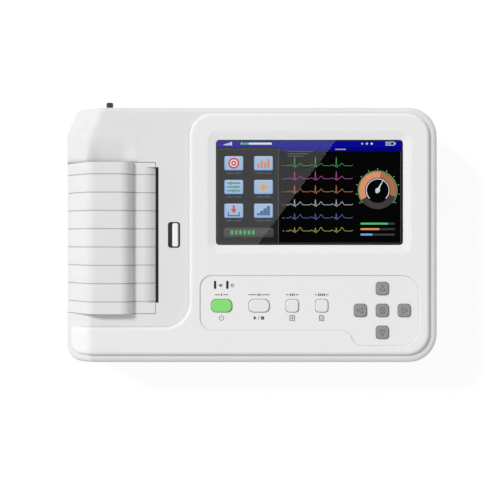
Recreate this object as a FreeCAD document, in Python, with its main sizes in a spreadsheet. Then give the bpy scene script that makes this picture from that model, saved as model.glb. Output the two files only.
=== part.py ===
import FreeCAD, Part
import math
import os
import Sketcher

# Desktop electrocardiograph with a thermal printer under a hinged paper cover.
# Millimetres. +X is the right of the machine, +Y its rear and +Z up, with the origin on the
# table under the middle of the case.

SIZES = {
    # Case shells
    "case_wall": 2.5,
    "corner_radius": 24.0,
    "front_left_radius": 14.0,
    "cut_across": 9.5,
    "cut_along": 21.5,
    "cut_radius": 5.0,
    "foot_height": 4.0,
    "seam_height": 34.0,
    "seam_chamfer": 0.5,
    "deck_height": 68.0,
    "rim_radius": 4.6,
    "base_radius": 5.0,
    "slope_run": 22.0,
    "slope_drop": 16.5,
    "slope_radius": 6.0,
    "boss_radius": 4.0,
    "boss_inset": 16.0,
    "boss_middle_front": 60.0,
    "boss_middle_rear": 20.0,
    "boss_middle_inset": 12.0,
    "case_screw_radius": 1.5,
    "case_screw_bite": 8.0,
    "case_screw_neck": 10.0,
    "screw_head_radius": 2.8,
    "screw_head_height": 2.2,
    "screw_well_gap": 0.4,
    "screw_fit": 0.05,
    "round_share": 0.98,
    # Feet
    "foot_radius": 7.0,
    "foot_inset_x": 30.0,
    "foot_inset_y": 28.0,
    "foot_socket_depth": 1.0,
    "foot_edge": 1.0,
    "foot_fit": 0.1,
    # Raised front panel
    "printer_width": 106.1,
    "panel_side_inset": 7.1,
    "panel_rear_inset": 5.1,
    "panel_front_inset": 6.7,
    "panel_rise": 4.0,
    "panel_edge": 3.2,
    "panel_corner": 19.0,
    "panel_bend": 21.0,
    "strip_corner": 10.0,
    "strip_end_inset": 4.5,
    "strip_end_rise": 1.2,
    "strip_ease": 0.2,
    "strip_gap": 10.8,
    "rear_margin": 15.7,
    "front_margin": 8.1,
    "panel_gap": 18.7,
    # Screen
    "window_width": 157.2,
    "window_length": 88.4,
    "window_radius": 3.0,
    "bezel_margin": 6.9,
    "bezel_sink": 1.6,
    "bezel_radius": 8.0,
    "window_lip": 0.9,
    "glass_border": 3.2,
    "glass_thickness": 1.3,
    "glass_radius": 5.0,
    "gasket_thickness": 0.8,
    "gasket_width": 3.0,
    "module_thickness": 6.4,
    "module_inset": 1.0,
    "seat_fit": 0.3,
    # Key recess and overlay
    "recess_width": 183.4,
    "recess_length": 58.7,
    "recess_short": 45.9,
    "recess_side": 9.2,
    "recess_sink": 1.3,
    "recess_edge": 0.8,
    "recess_left_radius": 10.0,
    "recess_right_radius": 14.5,
    "bend_start": 58.6,
    "bend_end": 53.6,
    "bend_radius": 9.6,
    "overlay_thickness": 0.4,
    "overlay_fit": 0.1,
    # Keys
    "key_row_drop": 25.3,
    "wide_key_width": 17.2,
    "wide_key_radius": 4.4,
    "key_width": 10.4,
    "key_length": 10.6,
    "key_radius": 3.0,
    "power_key_place": 17.9,
    "start_key_place": 49.3,
    "mode_key_place": 77.2,
    "print_key_place": 101.9,
    "pad_place": 30.6,
    "pad_drop": 29.3,
    "pad_pitch": 18.4,
    "key_proud": 0.6,
    "key_edge": 0.9,
    "key_gap": 0.35,
    "key_flange": 1.0,
    "key_flange_gap": 0.3,
    "key_stem_radius": 2.4,
    "key_tip_radius": 1.6,
    "key_tip_depth": 1.2,
    "key_travel": 1.0,
    # Status lenses
    "lens_width": 1.9,
    "lens_length": 6.8,
    "lens_first": 12.5,
    "lens_pitch": 10.3,
    "lens_drop": 7.8,
    "lens_fit": 0.05,
    "lens_proud": 0.1,
    # Key board and switches
    "board_thickness": 1.6,
    "key_board_depth": 6.9,
    "key_board_inset": 3.0,
    "switch_width": 6.0,
    "switch_height": 3.5,
    "switch_bore": 1.8,
    "post_radius": 2.6,
    "post_inset": 6.5,
    "post_near": 16.0,
    "post_far": 38.5,
    "post_corner": 7.5,
    "board_screw_radius": 1.1,
    "board_screw_head": 2.2,
    "board_screw_cap": 1.6,
    "board_screw_bite": 4.5,
    # Boards in the lower shell
    "main_board_height": 38.0,
    "main_board_left": 8.0,
    "main_board_width": 170.0,
    "main_board_length": 104.0,
    "main_board_rear": 22.0,
    "main_board_hole": 6.0,
    "standoff_radius": 3.5,
    "chip_width": 24.0,
    "chip_height": 2.4,
    "chip_pitch": 38.0,
    "chip_count": 4.0,
    "shield_width": 60.0,
    "shield_length": 34.0,
    "shield_height": 6.0,
    "power_board_height": 12.0,
    "power_board_width": 80.0,
    "power_board_length": 76.0,
    "power_board_right": 20.0,
    "power_board_rear": 32.0,
    "transformer_width": 34.0,
    "transformer_length": 30.0,
    "transformer_height": 20.0,
    "capacitor_radius": 8.0,
    "capacitor_height": 20.0,
    "capacitor_pitch": 24.0,
    "capacitor_count": 2.0,
    "power_part_inset": 10.0,
    # Battery
    "battery_x": 5.0,
    "battery_front": 12.0,
    "battery_width": 84.0,
    "battery_length": 76.0,
    "battery_height": 20.0,
    "battery_radius": 3.0,
    "battery_wall": 2.0,
    "battery_gap": 0.5,
    "door_ledge": 3.0,
    "door_thickness": 1.5,
    "door_radius": 4.0,
    "door_tab": 12.0,
    "door_tab_reach": 9.0,
    "door_tab_pitch": 52.0,
    "door_screw_radius": 1.5,
    "door_screw_length": 8.0,
    "door_screw_cap": 1.6,
    # Mains inlet on the rear wall
    "inlet_x": 85.0,
    "inlet_z": 20.0,
    "inlet_width": 27.0,
    "inlet_height": 20.0,
    "inlet_wall": 1.3,
    "inlet_corner": 4.0,
    "inlet_depth": 25.0,
    "inlet_floor": 7.0,
    "inlet_flange": 2.0,
    "inlet_flange_rise": 1.2,
    "inlet_pin_width": 2.0,
    "inlet_pin_height": 4.0,
    "inlet_pin_reach": 16.0,
    "inlet_pin_pitch": 7.0,
    "inlet_pin_tail": 4.0,
    # Equipotential ground post on the rear wall
    "ground_x": 32.5,
    "ground_z": 20.0,
    "ground_flange_radius": 6.5,
    "ground_flange": 1.2,
    "ground_neck_radius": 2.2,
    "ground_neck": 3.4,
    "ground_pin_radius": 3.0,
    "ground_pin": 5.2,
    "ground_pin_edge": 0.8,
    "ground_nut_radius": 5.0,
    "ground_nut_height": 3.0,
    # Patient-lead socket on the right wall
    "lead_y": 30.0,
    "lead_z": 20.0,
    "lead_flange_width": 39.2,
    "lead_flange_height": 12.5,
    "lead_flange": 1.0,
    "lead_shell_width": 24.6,
    "lead_shell_narrow": 21.5,
    "lead_shell_height": 7.9,
    "lead_shell_reach": 5.8,
    "lead_shell_corner": 2.4,
    "lead_body_depth": 9.0,
    "lead_pin_radius": 0.6,
    "lead_pin_depth": 4.5,
    "lead_pin_pitch": 2.76,
    "lead_row_pitch": 2.84,
    "lead_post_pitch": 33.3,
    "lead_post_radius": 2.9,
    "lead_post_reach": 4.8,
    "lead_post_bore": 1.25,
    "lead_post_edge": 0.4,
    # USB sockets on the right wall
    "usb_y": 24.0,
    "usb_pitch": 20.0,
    "usb_z": 18.0,
    "usb_width": 14.4,
    "usb_height": 7.0,
    "usb_depth": 14.0,
    "usb_shell": 0.6,
    "usb_radius": 0.9,
    "usb_tongue_width": 11.0,
    "usb_tongue_height": 1.8,
    "usb_tongue_reach": 9.0,
    # Paper cover
    "cover_end": 0.7,
    "gear_end_gap": 0.5,
    "cover_gap": 0.4,
    "cover_wall": 2.5,
    "hump_rise": 9.0,
    "hump_side": 22.7,
    "hump_end": 56.6,
    "hump_crease": 58.8,
    "hump_radius": 10.0,
    "hump_side_foot": 1.0,
    "hump_side_drop": 26.0,
    "hump_skirt": 19.0,
    "lip_reach": 77.3,
    "lip_thickness": 5.5,
    "lip_back": 16.5,
    "slot_width": 2.8,
    "slot_margin": 0.6,
    "ramp_reach": 10.8,
    "ramp_sink": 2.8,
    "ramp_radius": 14.0,
    "ramp_ease": 0.6,
    "groove_count": 8.0,
    "groove_margin": 10.09,
    "groove_width": 0.9,
    "groove_depth": 0.6,
    "barrel_radius": 4.0,
    "hinge_pin_radius": 1.5,
    "hinge_fit": 0.05,
    # Finger dip behind the hump
    "dip_left": 17.0,
    "dip_right": 62.0,
    "dip_side_run": 11.0,
    "dip_side_radius": 18.0,
    "dip_side_entry": 8.0,
    "dip_reach": 24.0,
    "dip_sink": 6.0,
    "dip_entry_rise": 0.4,
    "dip_floor": 9.2,
    "dip_floor_reach": 26.0,
    # Platen and gears
    "platen_setback": 6.8,
    "platen_drop": 13.5,
    "platen_radius": 7.0,
    "platen_margin": 1.0,
    "platen_shaft_radius": 3.0,
    "ear_gap": 1.2,
    "ear_thickness": 3.0,
    "ear_radius": 5.5,
    "bush_radius": 4.5,
    "bush_fit": 0.02,
    "running_fit": 0.05,
    "gear_module": 1.0,
    "gear_addendum": 0.8,
    "gear_dedendum": 1.05,
    "gear_backlash": 0.14,
    "gear_mesh_gap": 0.06,
    "gear_width": 2.5,
    "gear_side_gap": 0.4,
    "platen_teeth": 16.0,
    "idler_teeth": 24.0,
    "pinion_teeth": 12.0,
    "idler_axle_radius": 2.0,
    "idler_cap_radius": 3.2,
    "idler_cap": 0.8,
    "pinion_fall": 7.2,
    # Drive motor
    "motor_radius": 12.5,
    "motor_length": 22.0,
    "motor_edge": 1.5,
    "motor_boss_radius": 4.0,
    "motor_shaft_radius": 1.5,
    # Print head
    "nip_gap": 0.3,
    "head_thickness": 1.0,
    "head_drop": 6.0,
    "head_height": 12.0,
    "head_margin": 0.5,
    "sink_thickness": 3.2,
    "sink_fin": 1.2,
    "sink_fin_pitch": 3.0,
    "sink_fin_count": 4.0,
    "head_spring_gap": 5.5,
    "head_spring_thickness": 0.4,
    "head_spring_width": 70.0,
    # Printer frame
    "frame_plate": 2.0,
    "frame_left": 57.0,
    "frame_right": 96.0,
    "frame_top_gap": 1.0,
    "riser_left": 84.5,
    "riser_top": 6.5,
    "tear_thickness": 0.6,
    "tear_depth": 4.5,
    "tear_pitch": 3.0,
    "tear_count": 37.0,
    "tear_tooth": 0.8,
    # Paper tray and roll
    "tray_left": 6.5,
    "tray_width": 49.5,
    "tray_bottom": 12.0,
    "tray_top": 42.0,
    "tray_wall": 2.0,
    "tray_radius": 22.0,
    "tray_end_gap": 2.0,
    "tray_end": 2.5,
    "roll_radius": 22.0,
    "paper_width": 110.0,
    "roll_height": 38.0,
    "core_radius": 9.0,
    "core_wall": 2.0,
    "core_fit": 0.05,
    "spindle_journal": 3.0,
    "spindle_fit": 0.05,
    # Cover latch
    "latch_place": 13.0,
    "latch_slot_width": 10.4,
    "latch_slot_length": 21.8,
    "latch_slot_radius": 2.5,
    "latch_lever_width": 5.1,
    "latch_lever_gap": 0.9,
    "latch_lever_shift": 1.0,
    "latch_lever_sink": 0.6,
    "latch_lever_edge": 1.2,
    "latch_lever_corner": 1.44,
    "latch_bar_gap": 0.3,
    "latch_bar_thickness": 2.4,
    "latch_bar_left": 7.5,
    "latch_bar_right": 6.0,
    "latch_nose_gap": 0.6,
}

DOCUMENT = FreeCAD.newDocument("electrocardiograph")
NODES = []
TOLERANCE = 1e-4
UPRIGHT = 0.01
RISING = 0.3
PRESSURE_ANGLE = math.radians(20)
LEAD_ROWS = ((1, 8), (-1, 7))


class Size:
    """A length together with the sheet expression that gives it."""

    def __init__(self, value, text):
        self.value = float(value)
        self.text = text

    def _with(self, other, value, sign):
        return Size(value, f"({self.text} {sign} {text_of(other)})")

    def __add__(self, other):
        return self._with(other, self.value + number_of(other), "+")

    def __sub__(self, other):
        return self._with(other, self.value - number_of(other), "-")

    def __mul__(self, other):
        return self._with(other, self.value * number_of(other), "*")

    def __truediv__(self, other):
        return self._with(other, self.value / number_of(other), "/")

    __radd__ = __add__
    __rmul__ = __mul__

    def __rsub__(self, other):
        return -self + other

    def __neg__(self):
        return Size(-self.value, f"(0 - {self.text})")

    def root(self):
        """Returns the square root."""
        return Size(math.sqrt(self.value), f"sqrt({self.text})")

    def angle(self):
        """Returns the angle whose tangent this is."""
        return Size(math.degrees(math.atan(self.value)), f"atan({self.text})")


class SizeSheet:
    """The document's sheet of driving sizes, each read as an attribute."""

    def __init__(self, values):
        self._sheet = DOCUMENT.addObject("Spreadsheet::Sheet", "dims")
        for row, (name, value) in enumerate(values.items(), start=1):
            self._sheet.set(f"A{row}", name)
            self._sheet.set(f"B{row}", str(value))
            self._sheet.setAlias(f"B{row}", name)
        DOCUMENT.recompute()

    def __getattr__(self, name):
        return Size(getattr(self._sheet, name), f"dims.{name}")


def number_of(size):
    """Returns the plain number of a size."""
    return size.value if isinstance(size, Size) else float(size)


def text_of(size):
    """Returns the sheet expression of a size."""
    return size.text if isinstance(size, Size) else repr(float(size))


def bind(item, setting, size):
    """Binds one property of a document object to a size."""
    item.setExpression(setting, text_of(size))


def place(item, x=0, y=0, z=0, turn=None):
    """Puts an object at a point, turned first where a rotation is given."""
    if turn is not None:
        item.Placement = FreeCAD.Placement(FreeCAD.Vector(), turn)
    for axis, size in zip("xyz", (x, y, z)):
        bind(item, f"Placement.Base.{axis}", size)
    return item


def node(label, item):
    """Names a finished sub-part and keeps it for the export."""
    item.Label = label
    NODES.append(item)
    return item


def rectangle(x_low, x_high, y_low, y_high, radius=0):
    """Returns the four corners of a rectangle, each with one radius."""
    return [
        (x_low, y_low, radius),
        (x_high, y_low, radius),
        (x_high, y_high, radius),
        (x_low, y_high, radius),
    ]


def centred(x, y, width, length, radius=0):
    """Returns the corners of a rectangle about a centre."""
    return rectangle(x - width / 2, x + width / 2, y - length / 2, y + length / 2, radius)


def facing(shape, edge):
    """Returns the outward normals of the two faces beside an edge, at its middle."""
    middle = edge.valueAt((edge.FirstParameter + edge.LastParameter) / 2)
    normals = []
    for face in shape.ancestorsOfType(edge, Part.Face):
        along, across = face.Surface.parameter(middle)
        normals.append(face.normalAt(along, across))
    return normals


def ridge(shape, upward=True):
    """Names the edges where an upright wall meets a face that looks up, or down."""
    sense = 1 if upward else -1
    names = []
    for index, edge in enumerate(shape.Edges, start=1):
        heights = sorted((abs(normal.z), normal.z * sense) for normal in facing(shape, edge))
        if len(heights) == 2 and heights[0][0] < UPRIGHT and heights[1][1] > RISING:
            names.append(f"Edge{index}")
    return names


class Piece:
    """A body built from sketches and features that are bound to the sheet."""

    def __init__(self, label):
        self.body = DOCUMENT.addObject("PartDesign::Body", label)
        self.steps = 0
        self.volume = 0.0

    def _add(self, kind):
        self.steps += 1
        return self.body.newObject(kind, f"{self.body.Name}_{self.steps}")

    def _sketch(self, plane, lift):
        sketch = self._add("Sketcher::SketchObject")
        support = next(item for item in self.body.Origin.OriginFeatures if item.Role == plane)
        sketch.AttachmentSupport = [(support, "")]
        sketch.MapMode = "FlatFace"
        bind(sketch, "AttachmentOffset.Base.z", lift)
        return sketch

    @staticmethod
    def _constrain(sketch, rules, dimensions):
        for name, (rule, _) in dimensions.items():
            rule.Name = name
        sketch.addConstraint(rules + [rule for rule, _ in dimensions.values()])
        for name, (_, length) in dimensions.items():
            bind(sketch, f"Constraints.{name}", length)

    def polygon(self, corners, plane="XY_Plane", lift=0):
        """Draws a closed outline of (x, y, radius) corners, round where the radius is not 0."""
        sketch = self._sketch(plane, lift)
        points = [FreeCAD.Vector(number_of(x), number_of(y), 0) for x, y, _ in corners]
        radii = [number_of(radius) for _, _, radius in corners]
        rounds = []
        for index, point in enumerate(points):
            back = (points[index - 1] - point).normalize()
            ahead = (points[(index + 1) % len(points)] - point).normalize()
            if radii[index] <= 0:
                rounds.append((point, point, None, True))
                continue
            half = back.getAngle(ahead) / 2
            reach = radii[index] / math.tan(half)
            centre = point + (back + ahead).normalize() * (radii[index] / math.sin(half))
            enter, leave = point + back * reach, point + ahead * reach
            leftward = back.cross(ahead).z < 0
            first, last = (enter, leave) if leftward else (leave, enter)
            start = math.atan2(first.y - centre.y, first.x - centre.x)
            end = math.atan2(last.y - centre.y, last.x - centre.x)
            end += 2 * math.pi if end < start else 0
            circle = Part.Circle(centre, FreeCAD.Vector(0, 0, 1), radii[index])
            rounds.append((enter, leave, Part.ArcOfCircle(circle, start, end), leftward))
        lines = []
        for index, (_, leave, _, _) in enumerate(rounds):
            enter = rounds[(index + 1) % len(rounds)][0]
            lines.append(sketch.addGeometry(Part.LineSegment(leave, enter), False))
        rules = []
        dimensions = {}
        for index, (_, _, arc, leftward) in enumerate(rounds):
            before, after = lines[index - 1], lines[index]
            corner = after
            if arc is None:
                rules.append(Sketcher.Constraint("Coincident", before, 2, after, 1))
            else:
                bend = sketch.addGeometry(arc, False)
                first, last = (1, 2) if leftward else (2, 1)
                corner = sketch.addGeometry(Part.Point(points[index]), True)
                rules.append(Sketcher.Constraint("Tangent", before, 2, bend, first))
                rules.append(Sketcher.Constraint("Tangent", bend, last, after, 1))
                rules.append(Sketcher.Constraint("PointOnObject", corner, 1, before))
                rules.append(Sketcher.Constraint("PointOnObject", corner, 1, after))
                rule = Sketcher.Constraint("Radius", bend, radii[index])
                dimensions[f"radius_{index}"] = (rule, corners[index][2])
            across = Sketcher.Constraint("DistanceX", -1, 1, corner, 1, points[index].x)
            dimensions[f"across_{index}"] = (across, corners[index][0])
            along = Sketcher.Constraint("DistanceY", -1, 1, corner, 1, points[index].y)
            dimensions[f"along_{index}"] = (along, corners[index][1])
        self._constrain(sketch, rules, dimensions)
        return sketch

    def circles(self, centres, radius, plane="XY_Plane", lift=0):
        """Draws equal circles about (x, y) centres."""
        sketch = self._sketch(plane, lift)
        dimensions = {}
        for index, (x, y) in enumerate(centres):
            middle = FreeCAD.Vector(number_of(x), number_of(y), 0)
            circle = Part.Circle(middle, FreeCAD.Vector(0, 0, 1), number_of(radius))
            ring_line = sketch.addGeometry(circle, False)
            rule = Sketcher.Constraint("Radius", ring_line, number_of(radius))
            dimensions[f"radius_{index}"] = (rule, radius)
            across = Sketcher.Constraint("DistanceX", -1, 1, ring_line, 3, middle.x)
            dimensions[f"across_{index}"] = (across, x)
            along = Sketcher.Constraint("DistanceY", -1, 1, ring_line, 3, middle.y)
            dimensions[f"along_{index}"] = (along, y)
        self._constrain(sketch, [], dimensions)
        return sketch

    def _grow(self, kind, sketch, length, both_ways, backwards):
        before = self.volume
        feature = self._add(kind)
        feature.Profile = sketch
        bind(feature, "Length", length)
        if both_ways:
            feature.SideType = "Symmetric"
        feature.Reversed = backwards
        self._settle(sketch, feature)
        if (self.volume > before) != (kind == "PartDesign::Pad"):
            raise ValueError(f"{feature.Name} of {self.body.Label} changes nothing")
        return feature

    def _settle(self, *items):
        for item in items:
            item.recompute()
        self.volume = items[-1].Shape.Volume

    def pad(self, sketch, length, both_ways=False, backwards=False):
        """Raises a solid from a sketch."""
        self._grow("PartDesign::Pad", sketch, length, both_ways, backwards)
        return self

    def pocket(self, sketch, length, both_ways=False, backwards=False):
        """Cuts a sketch into the solid and returns the feature, for a pattern."""
        return self._grow("PartDesign::Pocket", sketch, length, both_ways, backwards)

    def revolve(self, sketch):
        """Turns a profile about the upright axis of its sketch."""
        feature = self._add("PartDesign::Revolution")
        feature.Profile = sketch
        feature.ReferenceAxis = (sketch, ["V_Axis"])
        self._settle(sketch, feature)
        return self

    def loft_cut(self, wide, narrow):
        """Cuts a tapered hollow between two sketches."""
        feature = self._add("PartDesign::SubtractiveLoft")
        feature.Profile = wide
        feature.Sections = [narrow]
        feature.Ruled = True
        self._settle(wide, narrow, feature)
        return self

    def loft(self, first, *others):
        """Fills the smooth form that runs from one sketch through the others."""
        feature = self._add("PartDesign::AdditiveLoft")
        feature.Profile = first
        feature.Sections = list(others)
        self._settle(first, *others, feature)
        return self

    def common(self, other):
        """Keeps only what another piece also fills."""
        feature = self._add("PartDesign::Boolean")
        feature.setObjects([other.body])
        feature.Type = "Common"
        self._settle(other.body, feature)
        return self

    def soften(self, radius, choose, kind="PartDesign::Fillet"):
        """Rounds the edges that a function of the shape names."""
        base = self.body.Tip
        names = choose(base.Shape)
        feature = self._add(kind)
        feature.Base = (base, names)
        bind(feature, "Size" if kind == "PartDesign::Chamfer" else "Radius", radius)
        self._settle(feature)
        return self

    def repeat(self, feature, sketch, count, pitch, axis="N_Axis"):
        """Repeats a feature along an axis of its sketch."""
        pattern = self._add("PartDesign::LinearPattern")
        pattern.Originals = [feature]
        pattern.Direction = (sketch, [axis])
        bind(pattern, "Length", pitch * (count - 1))
        bind(pattern, "Occurrences", count)
        self.body.Tip = pattern
        self._settle(pattern)
        return self

    def at(self, x=0, y=0, z=0, turn=None):
        """Puts the body at a point."""
        place(self.body, x, y, z, turn)
        return self


def box(name, x_span, y_span, z_span):
    """Makes a block between pairs of sizes."""
    block = DOCUMENT.addObject("Part::Box", name)
    for side, (low, high) in zip(("Length", "Width", "Height"), (x_span, y_span, z_span)):
        bind(block, side, high - low)
    return place(block, x_span[0], y_span[0], z_span[0])


def rod(name, radius, length, x, y, z, turn=None):
    """Makes a round bar that starts at a point and runs along its turned axis."""
    bar = DOCUMENT.addObject("Part::Cylinder", name)
    bind(bar, "Radius", radius)
    bind(bar, "Height", length)
    return place(bar, x, y, z, turn)


def fuse(name, items):
    """Joins objects into one."""
    joined = DOCUMENT.addObject("Part::MultiFuse", name)
    joined.Shapes = items
    joined.Refine = True
    return joined


def group(name, items):
    """Gathers separate solids in one object."""
    gathered = DOCUMENT.addObject("Part::Compound", name)
    gathered.Links = items
    return gathered


def meet(name, first, second):
    """Keeps what two objects share."""
    shared = DOCUMENT.addObject("Part::MultiCommon", name)
    shared.Shapes = [first, second]
    return shared


def cut(name, base, tools):
    """Takes objects out of a base."""
    rest = DOCUMENT.addObject("Part::Cut", name)
    rest.Base = base
    rest.Tool = tools[0] if len(tools) == 1 else fuse(f"{name}_tools", tools)
    return rest


ALONG_X = FreeCAD.Rotation(FreeCAD.Vector(0, 1, 0), 90)
ALONG_Y = FreeCAD.Rotation(FreeCAD.Vector(1, 0, 0), -90)
size = SizeSheet(SIZES)

# Places that several pieces share
panel_width = size.recess_width + 2 * size.recess_side
bezel_width = size.window_width + 2 * size.bezel_margin
bezel_length = size.window_length + 2 * size.bezel_margin
panel_length = size.rear_margin + bezel_length + size.panel_gap + size.recess_length + size.front_margin
case_width = size.printer_width + panel_width + size.panel_side_inset
case_depth = size.panel_front_inset + panel_length + size.panel_rear_inset
left = -case_width / 2
right = case_width / 2
front = -case_depth / 2
rear = case_depth / 2
deck = size.deck_height
deck_under = deck - size.case_wall
panel_top = deck + size.panel_rise
floor = size.foot_height + size.case_wall
panel_left = left + size.printer_width
panel_right = right - size.panel_side_inset
panel_front = front + size.panel_front_inset
panel_rear = rear - size.panel_rear_inset
panel_middle = panel_left + panel_width / 2
display_y = panel_rear - size.rear_margin - bezel_length / 2
recess_left = panel_left + size.recess_side
recess_right = panel_right - size.recess_side
recess_front = panel_front + size.front_margin
recess_rear = recess_front + size.recess_length
recess_floor = panel_top - size.recess_sink
platen_length = size.paper_width + 2 * size.platen_margin
platen_end = platen_length / 2
head_length = platen_length + 2 * size.head_margin
slot_length = head_length + 2 * size.slot_margin
ear_inner = platen_end + size.ear_gap
ear_outer = ear_inner + size.ear_thickness
gear_near = ear_outer + size.gear_side_gap
cover_front = -(gear_near + size.gear_width + size.gear_end_gap + size.cover_wall)
cover_rear = ear_outer + size.cover_end
cover_length = cover_rear - cover_front
cover_middle = (cover_front + cover_rear) / 2
bay_front = cover_front - size.cover_gap
bay_rear = cover_rear + size.cover_gap
lip_end = left + size.lip_reach
slot_right = lip_end + size.slot_width
hump_top = deck + size.hump_rise
side_foot_x = left + size.hump_side_foot
side_foot_z = hump_top - size.hump_side_drop
side_run = size.hump_side - size.hump_side_foot
side_length = (side_run * side_run + size.hump_side_drop * size.hump_side_drop).root()
hinge_x = side_foot_x + size.barrel_radius * size.hump_side_drop / side_length
hinge_z = side_foot_z - size.barrel_radius * side_run / side_length
bay_bottom = hinge_z - size.barrel_radius - size.cover_gap
platen_x = lip_end - size.platen_setback
platen_z = deck - size.platen_drop
arm_x = platen_x - hinge_x
arm_z = platen_z - hinge_z
arm = (arm_x * arm_x + arm_z * arm_z).root()
idler_distance = size.gear_module * (size.platen_teeth + size.idler_teeth) / 2 + size.gear_mesh_gap
idler_x = platen_x + idler_distance * arm_z / arm
idler_z = platen_z - idler_distance * arm_x / arm
pinion_distance = size.gear_module * (size.idler_teeth + size.pinion_teeth) / 2 + size.gear_mesh_gap
pinion_run = (pinion_distance * pinion_distance - size.pinion_fall * size.pinion_fall).root()
pinion_x = idler_x + pinion_run
pinion_z = idler_z - size.pinion_fall
head_face = platen_x + size.platen_radius + size.nip_gap
head_back = head_face + size.head_thickness
sink_back = head_back + size.sink_thickness
bar_face = sink_back + size.head_spring_gap
head_top = deck - size.head_drop
head_bottom = head_top - size.head_height
roll_x = left + size.tray_left + size.tray_width / 2
roll_end = size.paper_width / 2
tray_inner = roll_end + size.tray_end_gap
tray_outer = tray_inner + size.tray_end
key_board_top = deck - size.key_board_depth
latch_x = slot_right + size.latch_place
boss_places = [
    (left + size.boss_inset, front + size.boss_inset),
    (right - size.boss_inset, front + size.boss_inset),
    (right - size.boss_inset, rear - size.boss_inset),
    (left + size.boss_inset, rear - size.boss_inset),
    (size.boss_middle_front, front + size.boss_middle_inset),
    (size.boss_middle_rear, rear - size.boss_middle_inset),
]
foot_places = [
    (sign_x * (right - size.foot_inset_x), sign_y * (rear - size.foot_inset_y))
    for sign_x in (-1, 1)
    for sign_y in (-1, 1)
]
row_y = recess_rear - size.key_row_drop
pad_x = recess_right - size.pad_place
pad_y = recess_rear - size.pad_drop
lens_y = recess_rear - size.lens_drop
lens_places = [
    (recess_left + size.lens_first, lens_y),
    (recess_left + size.lens_first + size.lens_pitch, lens_y),
]
WIDE_KEY = (size.wide_key_width, size.key_length, size.wide_key_radius)
SMALL_KEY = (size.key_width, size.key_length, size.key_radius)
KEYS = {
    "power_key": (recess_left + size.power_key_place, row_y, *WIDE_KEY),
    "start_key": (recess_left + size.start_key_place, row_y, *WIDE_KEY),
    "mode_key": (recess_left + size.mode_key_place, row_y, *SMALL_KEY),
    "print_key": (recess_left + size.print_key_place, row_y, *SMALL_KEY),
    "up_key": (pad_x, pad_y + size.pad_pitch, *SMALL_KEY),
    "down_key": (pad_x, pad_y - size.pad_pitch, *SMALL_KEY),
    "left_key": (pad_x - size.pad_pitch, pad_y, *SMALL_KEY),
    "right_key": (pad_x + size.pad_pitch, pad_y, *SMALL_KEY),
    "menu_key": (pad_x, pad_y, *SMALL_KEY),
}


def case_outline(inset):
    """Returns the plan of the case with its cut rear left corner, drawn in by an inset."""
    across, along = size.cut_across, size.cut_along
    cut_length = (across * across + along * along).root()
    return [
        (left + inset, front + inset, size.front_left_radius - inset),
        (right - inset, front + inset, size.corner_radius - inset),
        (right - inset, rear - inset, size.corner_radius - inset),
        (left + across + inset * (cut_length - across) / along, rear - inset, size.cut_radius - inset),
        (left + inset, rear - along - inset * (cut_length - along) / across, size.cut_radius - inset),
    ]


def slope_profile(foot, far, lift, bottom, radius):
    """Returns the section of a deck that falls away at one end, raised square to its surface."""
    slope = (size.slope_run * size.slope_run + size.slope_drop * size.slope_drop).root()
    turn = foot + size.slope_run - lift * (slope - size.slope_run) / size.slope_drop
    top = deck + lift
    start = foot - size.slope_run
    start_z = top - (turn - start) * size.slope_drop / size.slope_run
    return [
        (start, bottom, 0),
        (far, bottom, 0),
        (far, top, 0),
        (turn, top, radius),
        (start, start_z, 0),
    ]


def roof(name, lift, bottom):
    """Makes a bar as deep as the case under the deck's section."""
    bar = Piece(name)
    section = slope_profile(left, right + size.slope_run, lift, bottom, size.slope_radius + lift)
    return bar.pad(bar.polygon(section, "XZ_Plane"), case_depth * 2, both_ways=True)


def crest(shape):
    """Names the edges where the slopes of a roof meet each other and its flat top."""
    names = []
    for index, edge in enumerate(shape.Edges, start=1):
        normals = facing(shape, edge)
        if len(normals) == 2 and min(normal.z for normal in normals) > RISING:
            names.append(f"Edge{index}")
    return names


def hipped_roof(name, lift, bottom):
    """Makes the deck's bar with a second slope over the cut corner, and rounds where they meet."""
    bar = Piece(name)
    far = right + size.slope_run
    sharp = slope_profile(left, far, lift, bottom, 0)
    bar.pad(bar.polygon(sharp, "XZ_Plane"), case_depth * 2, both_ways=True)
    hip = Piece(f"{name}_hip")
    reach = case_width + case_depth
    section = slope_profile(0, reach, lift, bottom, 0)
    hip.pad(hip.polygon(section, "XZ_Plane"), reach * 2, both_ways=True)
    hip.at(left, rear - size.cut_along, 0, FreeCAD.Rotation(FreeCAD.Vector(0, 0, -1), 1))
    bind(hip.body, "Placement.Rotation.Angle", (size.cut_across / size.cut_along).angle())
    bar.common(hip)
    return bar.soften(size.slope_radius + lift, crest)


def shell_block(name, inset, bottom):
    """Makes the upper shell's outer form, or its hollow when drawn in."""
    block = Piece(name)
    block.pad(block.polygon(case_outline(inset), lift=bottom), hump_top - bottom)
    return block.common(hipped_roof(f"{name}_roof", -inset, bottom))


def dip_section(piece, distance, depth):
    """Draws the finger dip's cross-section at a distance behind the bay."""
    entry = deck + size.dip_entry_rise
    low = deck - depth
    dip_left = left + size.dip_left
    dip_right = left + size.dip_right
    corners = [
        (dip_left - size.dip_side_entry, hump_top, 0),
        (dip_left - size.dip_side_entry, entry, 0),
        (dip_left, entry, size.dip_side_radius),
        (dip_left + size.dip_side_run, low, size.dip_side_radius),
        (dip_right - size.dip_side_run, low, size.dip_side_radius),
        (dip_right, entry, size.dip_side_radius),
        (dip_right + size.dip_side_entry, entry, 0),
        (dip_right + size.dip_side_entry, hump_top, 0),
    ]
    return piece.polygon(corners, "XZ_Plane", lift=-(bay_rear + distance))


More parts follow.
